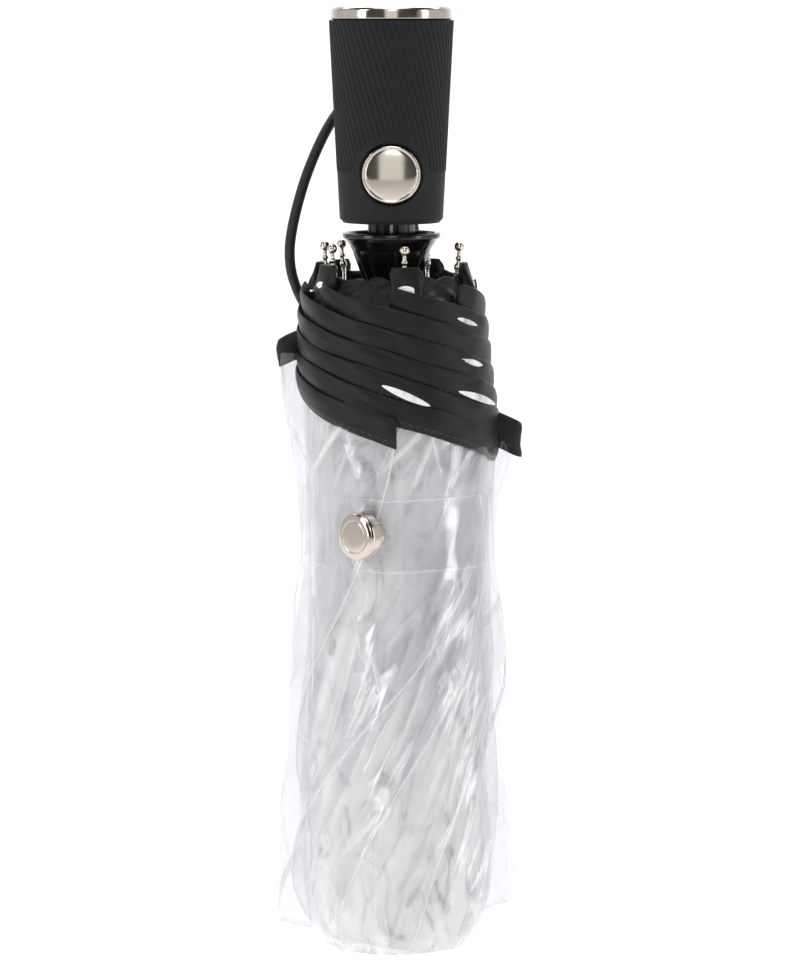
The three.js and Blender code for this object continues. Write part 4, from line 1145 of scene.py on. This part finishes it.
class UmbrellaFlapMaker(bpy.types.Operator):
    """Make the two folds that stand out at the sides, and the tape loops on them"""

    bl_idname = "umbrella.make_flaps"
    bl_label = "Standing folds"

    def execute(self, context):
        for rib, azimuth, root, gap, heights, tall, rim in FLAPS:
            plan = rib, math.radians(azimuth), root * MM, gap * MM
            self.loop(*plan, heights, tall * MM, rim[0][1] * MM)
            self.flap(*plan, np.array(rim) * MM)
        return {"FINISHED"}

    def loop(self, rib, azimuth, root, gap, heights, tall, tip):
        """The tape's flat section carried round the hairpin, sinking towards its turn."""
        t = np.linspace(0, 1, 90)[:, None]
        x, y, swing = hairpin(azimuth, root, tip, gap, t, 0.05)
        along = np.concatenate([[0], np.cumsum(np.hypot(np.diff(x[:, 0]), np.diff(y[:, 0])))])[:, None]
        slope = np.stack([np.gradient(x[:, 0]), np.gradient(y[:, 0])], -1)
        slope /= np.linalg.norm(slope, axis=1)[:, None]
        out = np.stack([slope[:, 1], -slope[:, 0]], -1)
        turn = np.linspace(0, TAU, 22, endpoint=False)[None, :]
        across, through = squared(np.cos(turn), 0.6), 0.4 * MM * squared(np.sin(turn), 0.85)
        z = (heights[0] + (heights[1] - heights[0]) * swing) * MM + across * tall / 2
        ripple = 0.35 * MM * np.sin(700 * z + 260 * along + rib)
        off = through + ripple
        points = np.stack([x + out[:, :1] * off, y + out[:, 1:] * off, z], -1)
        tape(f"edge_loop_{rib + 1}", rib, points, along, across * tall / 2)

    def flap(self, rib, azimuth, root, gap, rim):
        """The film below the loop: the same hairpin, with its turn on the rim's curve. Long slanting
        flutes run down it, and its turn and lower edge catch the light."""
        rows, columns = 170, 80
        z = np.linspace(rim[0, 0], rim[-1, 0], rows)[:, None]
        tip = np.interp(-z, -rim[:, 0], rim[:, 1]) + 0.25 * MM * np.sin(z / (5 * MM))
        t = np.linspace(0, 1, columns)[None, :]
        wide = gap * (1 + 0.5 * np.sin(z / (23 * MM) + rib))
        x, y, swing = hairpin(azimuth, root, tip, wide, t, 0.10)
        wave = 1 - 2 * np.abs(np.sin(0.5 * (90 * swing * MM * 120 + z / (9 * MM))))
        flute = 0.55 * MM * swing * (1 - swing**6) * wave
        x, y = x - flute * math.sin(azimuth), y + flute * math.cos(azimuth)
        low = z - 2.5 * MM * (1 - swing) * smooth_step(0.15, 0.28, -z)
        points = np.stack(np.broadcast_arrays(x, y, low), -1)
        down = np.linspace(0, 1, rows)[:, None]
        # painted highlights: white marks down the flap's turn and along its lower edge, carried by the edge
        # attribute
        edge = np.maximum(line_at(t - 0.5, 0.035, 0.5), line_at(1 - down, 0.006, 0.8))
        thing = piece(f"film_flap_{rib + 1}", points, f"outer_rib_{rib + 1}",
                      finish_of("flap"), grid_faces(rows, columns),
                      grid_uv(t * 24 * MM + 37 * MM * rib, z), edge=edge)


class UmbrellaPocketMaker(bpy.types.Operator):
    """Make the small fabric pockets that hold the rib tips"""

    bl_idname = "umbrella.make_pockets"
    bl_label = "Tip pockets"

    def execute(self, context):
        for k in range(RIBS):
            self.pocket(k)
        return {"FINISHED"}

    def pocket(self, k):
        """A flat sleeve hung from the collar: a flattened oval section that widens downwards."""
        end = math.radians(TIP_AZIMUTHS[k])
        out = np.array([math.cos(end), math.sin(end), 0])
        across = np.array([-math.sin(end), math.cos(end), 0])
        rows, around, tall = 26, 48, 8.2 * MM
        down = np.linspace(0, 1, rows)[:, None, None]
        turn = np.linspace(0, TAU, around, endpoint=False)[None, :, None]
        wide = (3.9 + 0.9 * smooth_step(0, 0.25, down)) * MM
        thick = (1.2 + 0.9 * smooth_step(0, 0.9, down)) * MM
        sway = 0.5 * MM * np.sin(3 * down + k)
        ripple = 1 + 0.07 * np.sin(4 * turn + 5 * down + k)
        flat = squared(np.cos(turn), 0.55)
        points = ((TIP_RADIUS + 1.3 * MM) * out + np.array([0, 0, TIP_Z - 4.9 * MM])
                  + (wide * flat * ripple + sway) * across + thick * np.sin(turn) * ripple * out
                  - down * np.array([0, 0, tall]) + down * 1.6 * MM * out)
        # the open foot turns in and goes back up inside as a lining
        foot = points[-1:].mean(axis=1, keepdims=True)
        lining = []
        for n in (-6, -12):
            row = points[n:n + 1]
            middle = row.mean(axis=1, keepdims=True)
            lining.append(foot + (row - middle) * 0.88 + (middle - foot))
        points = np.concatenate([gathered(points[:1]), points, *lining])
        quads = facing_out(points, grid_faces(len(points), around, closed_columns=True))
        uv = grid_uv(np.arange(around) / around * 22 * MM,
                     np.linspace(4 * MM, -4 * MM, len(points))[:, None])
        piece(f"tip_pocket_{k + 1}", points, f"outer_rib_{k + 1}",
              finish_of("fabric"), quads, uv)


class UmbrellaGatherMaker(bpy.types.Operator):
    """Make the gathered fabric between the tip pockets"""

    bl_idname = "umbrella.make_gathers"
    bl_label = "Gathers"

    def execute(self, context):
        for k in range(RIBS):
            self.gather(k)
        return {"FINISHED"}

    def gather(self, k):
        """A ruffle behind the bands: a closed sheet round one rib's share, whose radius and upper edge
        ripple, r = mean + a sin(n * azimuth + slant * z)."""
        rows, columns = 20, 90
        middle = rib_azimuth(k)
        half = math.radians(RIB_STEP / 2 + 3)
        azimuth = middle + np.linspace(-half, half, columns)[None, :]
        down = np.linspace(0, 1, rows)[:, None]
        top = -80.6 * MM + 1.3 * MM * waves(azimuth, 0 * azimuth, 130 + k, low=5, high=16)
        z = top + (-94 * MM - top) * down
        ripple = 0.9 * MM * waves(azimuth, 3 * z, 140, count=5, low=9, high=24) * (1 - 0.5 * down)
        radius = (20.6 + 4.0 * smooth_step(0, 0.75, down)) * MM + ripple
        outside = around_shaft(azimuth, radius, z)
        inside = around_shaft(azimuth, radius - 0.7 * MM, z)
        points = np.concatenate([outside, inside[::-1]])
        points = np.concatenate([points, points[:1]])
        quads = facing_out(points, grid_faces(*points.shape[:2]))
        piece(f"edge_gather_{k + 1}", points, f"outer_rib_{k + 1}",
              finish_of("fabric"), quads, grid_uv(azimuth * 24 * MM, points[..., 2] + 100 * MM))


# film that shows between two bands or under a pocket: rib, azimuths of its ends, heights of its ends,
# its own height, and how far it stands outside the bundle's outline
TUCKS = (
    (3, (-50, -27), (-91.2, -94.8), 1.9, 1.15), (2, (-50, -25), (-103.6, -107.2), 1.9, 1.25),
    (2, (-52, -15), (-113.6, -119.2), 2.3, 1.3), (1, (-98, -71), (-111.2, -117.4), 2.4, 1.3),
    (0, (-86, -72), (-83.2, -83.8), 2.6, 0.7), (6, (-155, -141), (-83.0, -83.6), 3.2, 0.5),
    (1, (-9, 9), (-83.6, -84.0), 2.6, 0.6),
)


class UmbrellaTuckMaker(bpy.types.Operator):
    """Make the bits of film that show between the bands"""

    bl_idname = "umbrella.make_tucks"
    bl_label = "Film between bands"

    def execute(self, context):
        for n, tuck in enumerate(TUCKS):
            self.tuck(n + 1, *tuck)
        return {"FINISHED"}

    def tuck(self, n, rib, azimuths, heights, tall, proud):
        """A lens on the bundle's surface: height = line + v * tall / 2 * sin(pi u)^0.6, with a crumpled
        bulge, and a back that sinks into the band."""
        u = np.linspace(0, 1, 60)[:, None]
        v = np.linspace(-1, 1, 16)[None, :]
        lens = np.sin(math.pi * np.clip(u, 1e-6, 1 - 1e-6)) ** 0.6
        azimuth = np.radians(azimuths[0] + (azimuths[1] - azimuths[0]) * u)
        z = (heights[0] + (heights[1] - heights[0]) * u + v * tall / 2 * lens) * MM
        crumple = 0.22 * MM * waves(azimuth, 6 * z, 150 + n, count=7, low=12, high=40)
        radius = outline(z) + (proud + 0.35 * (1 - v**2) * lens) * MM + crumple * lens * (1 - v**4)
        outside = around_shaft(azimuth + 0 * v, radius, z)
        inside = around_shaft(azimuth + 0 * v, radius - (0.2 + 1.1 * lens) * MM, z)
        points = np.concatenate([outside, inside[:, ::-1]], axis=1)
        quads = facing_out(points, grid_faces(*points.shape[:2], closed_columns=True))
        piece(f"film_tuck_{n}", points, f"outer_rib_{rib + 1}", finish_of("core"), quads)


class UmbrellaStrapMaker(bpy.types.Operator):
    """Make the film strap that holds the bundle closed"""

    bl_idname = "umbrella.make_strap"
    bl_label = "Strap"

    def execute(self, context):
        """A thin band on the closed line of the frame's strap: its radius follows the bundle."""
        low, high = (corner[2] for corner in BOX["closing_strap"])
        z = np.linspace(high, low, STRAP_ROWS)[:, None]
        azimuth = np.radians(np.linspace(*STRAP_SPAN, 260))[None, :]
        radius = STRAP_RADIUS + 0.15 * MM * waves(azimuth, z, 91, low=3, high=14)
        self.sheet("strap_band", around_shaft(azimuth, radius + 0 * z, z), "outer_rib_7",
                   azimuth * 29 * MM, z, 1, "closing_strap",
                   math.radians(STRAP_SPAN[1] - STRAP_SPAN[0]) * STRAP_RADIUS)
        self.tab(low, high)
        return {"FINISHED"}

    def sheet(self, name, points, body, u, z, end, node, length):
        """A part of the strap as a sheet. Its two long edges, and its free end if it has one,
        catch the light; end is the share of the width that each column stands from that end."""
        down = np.linspace(0, 1, STRAP_ROWS)[:, None]
        # painted highlights: white marks along the strap's long edges and its free end, carried by the edge
        # attribute
        near = np.minimum(np.minimum(down, 1 - down), end) + 0 * u
        thing = piece(name, points, body, finish_of("strap"), grid_faces(*points.shape[:2]),
                      grid_uv(u, z), replaces=(node,), edge=line_at(near, 0.02, 0.55))

    def tab(self, low, high):
        """The loose end: it goes on from the band's end and runs straight across behind the snap cap."""
        round_part = [around_shaft(np.radians(azimuth), radius * MM, STRAP_Z)
                      for azimuth, radius in ((-70, 29.45), (-78, 29.75), (-85, 30.85))]
        out = np.array((math.cos(SNAP_TURN), math.sin(SNAP_TURN), 0))
        across = np.array((out[1], -out[0], 0))
        seat = np.array((*SNAP_SEAT, 0)) - 0.55 * MM * out
        straight_part = [seat + along * MM * across for along in (-7.15, -3.6, 3.6, 8.65)]
        line = curve_through(np.array([*round_part, *straight_part]) * (1, 1, 0), 16)
        z = np.linspace(high, low, STRAP_ROWS)[:, None]
        points = np.repeat(line[None], STRAP_ROWS, axis=0)
        points[..., 2] = z
        run = np.concatenate([[0], np.cumsum(np.linalg.norm(np.diff(line, axis=0), axis=1))])[None, :]
        end = (run[0, -1] - run) / (high - low)
        self.sheet("strap_tab_film", points, "strap_tab", run, z, end, "strap_tab", run[0, -1])


class UmbrellaSnapMaker(bpy.types.Operator):
    """Make the snap cap and finish its socket"""

    bl_idname = "umbrella.make_snap"
    bl_label = "Snap"

    def execute(self, context):
        axis = (math.cos(SNAP_TURN), math.sin(SNAP_TURN), 0)
        r, h = 7.15 * MM, 5.3 * MM
        profile = rounded([
            (0, 0), (r - 0.5 * MM, 0), (r, 0.6 * MM), (r, h - 1.5 * MM), (r - 0.35 * MM, h - 0.75 * MM),
            (r - 1.3 * MM, h - 0.3 * MM), (r - 2.3 * MM, h - 0.16 * MM), (r - 2.5 * MM, h - 0.3 * MM),
            (r - 2.7 * MM, h - 0.13 * MM), (r * 0.4, h - 0.02 * MM), (0, h),
        ], 0.25 * MM)
        lathe("snap_cap_polished", profile, "strap_tab", finish_of("metal"),
              origin=(*SNAP_SEAT, STRAP_Z), axis=axis, around=96, replaces=("snap_cap",))
        repaint("snap_socket", "metal")
        return {"FINISHED"}


MAKERS = (
    UmbrellaStageMaker, UmbrellaCordMaker, UmbrellaCapMaker, UmbrellaGripMaker, UmbrellaButtonMaker,
    UmbrellaCupMaker, UmbrellaShaftMaker, UmbrellaRibMaker, UmbrellaCoreMaker, UmbrellaFilmMaker,
    UmbrellaBindingMaker, UmbrellaFlapMaker, UmbrellaGatherMaker, UmbrellaPocketMaker,
    UmbrellaTuckMaker, UmbrellaStrapMaker, UmbrellaSnapMaker,
)


class UmbrellaPanel(bpy.types.Panel):
    """Lists the umbrella's pieces"""

    bl_idname = "VIEW3D_PT_umbrella"
    bl_label = "Umbrella"
    bl_space_type = "VIEW_3D"
    bl_region_type = "UI"
    bl_category = "Umbrella"

    def draw(self, context):
        for group in ("umbrella_handle", "umbrella_canopy", "umbrella_stage"):
            settings = getattr(context.scene, group)
            box = self.layout.box()
            for name in settings.bl_rna.properties.keys():
                if name not in ("rna_type", "name"):
                    box.prop(settings, name)
        for maker in MAKERS:
            self.layout.operator(maker.bl_idname)


GROUPS = (UmbrellaHandle, UmbrellaCanopy, UmbrellaStage)


def register():
    for kind in (*GROUPS, *MAKERS, UmbrellaPanel):
        bpy.utils.register_class(kind)
    bpy.types.Scene.umbrella_handle = bpy.props.PointerProperty(type=UmbrellaHandle)
    bpy.types.Scene.umbrella_canopy = bpy.props.PointerProperty(type=UmbrellaCanopy)
    bpy.types.Scene.umbrella_stage = bpy.props.PointerProperty(type=UmbrellaStage)


def unregister():
    for name in ("umbrella_handle", "umbrella_canopy", "umbrella_stage"):
        delattr(bpy.types.Scene, name)
    for kind in reversed((*GROUPS, *MAKERS, UmbrellaPanel)):
        bpy.utils.unregister_class(kind)


def main():
    """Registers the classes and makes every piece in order."""
    register()
    for maker in MAKERS:
        group, name = maker.bl_idname.split(".")
        if getattr(getattr(bpy.ops, group), name)() != {"FINISHED"}:
            raise RuntimeError(f"{maker.bl_label} wasn't finished")


if __name__ == "__main__":
    main()
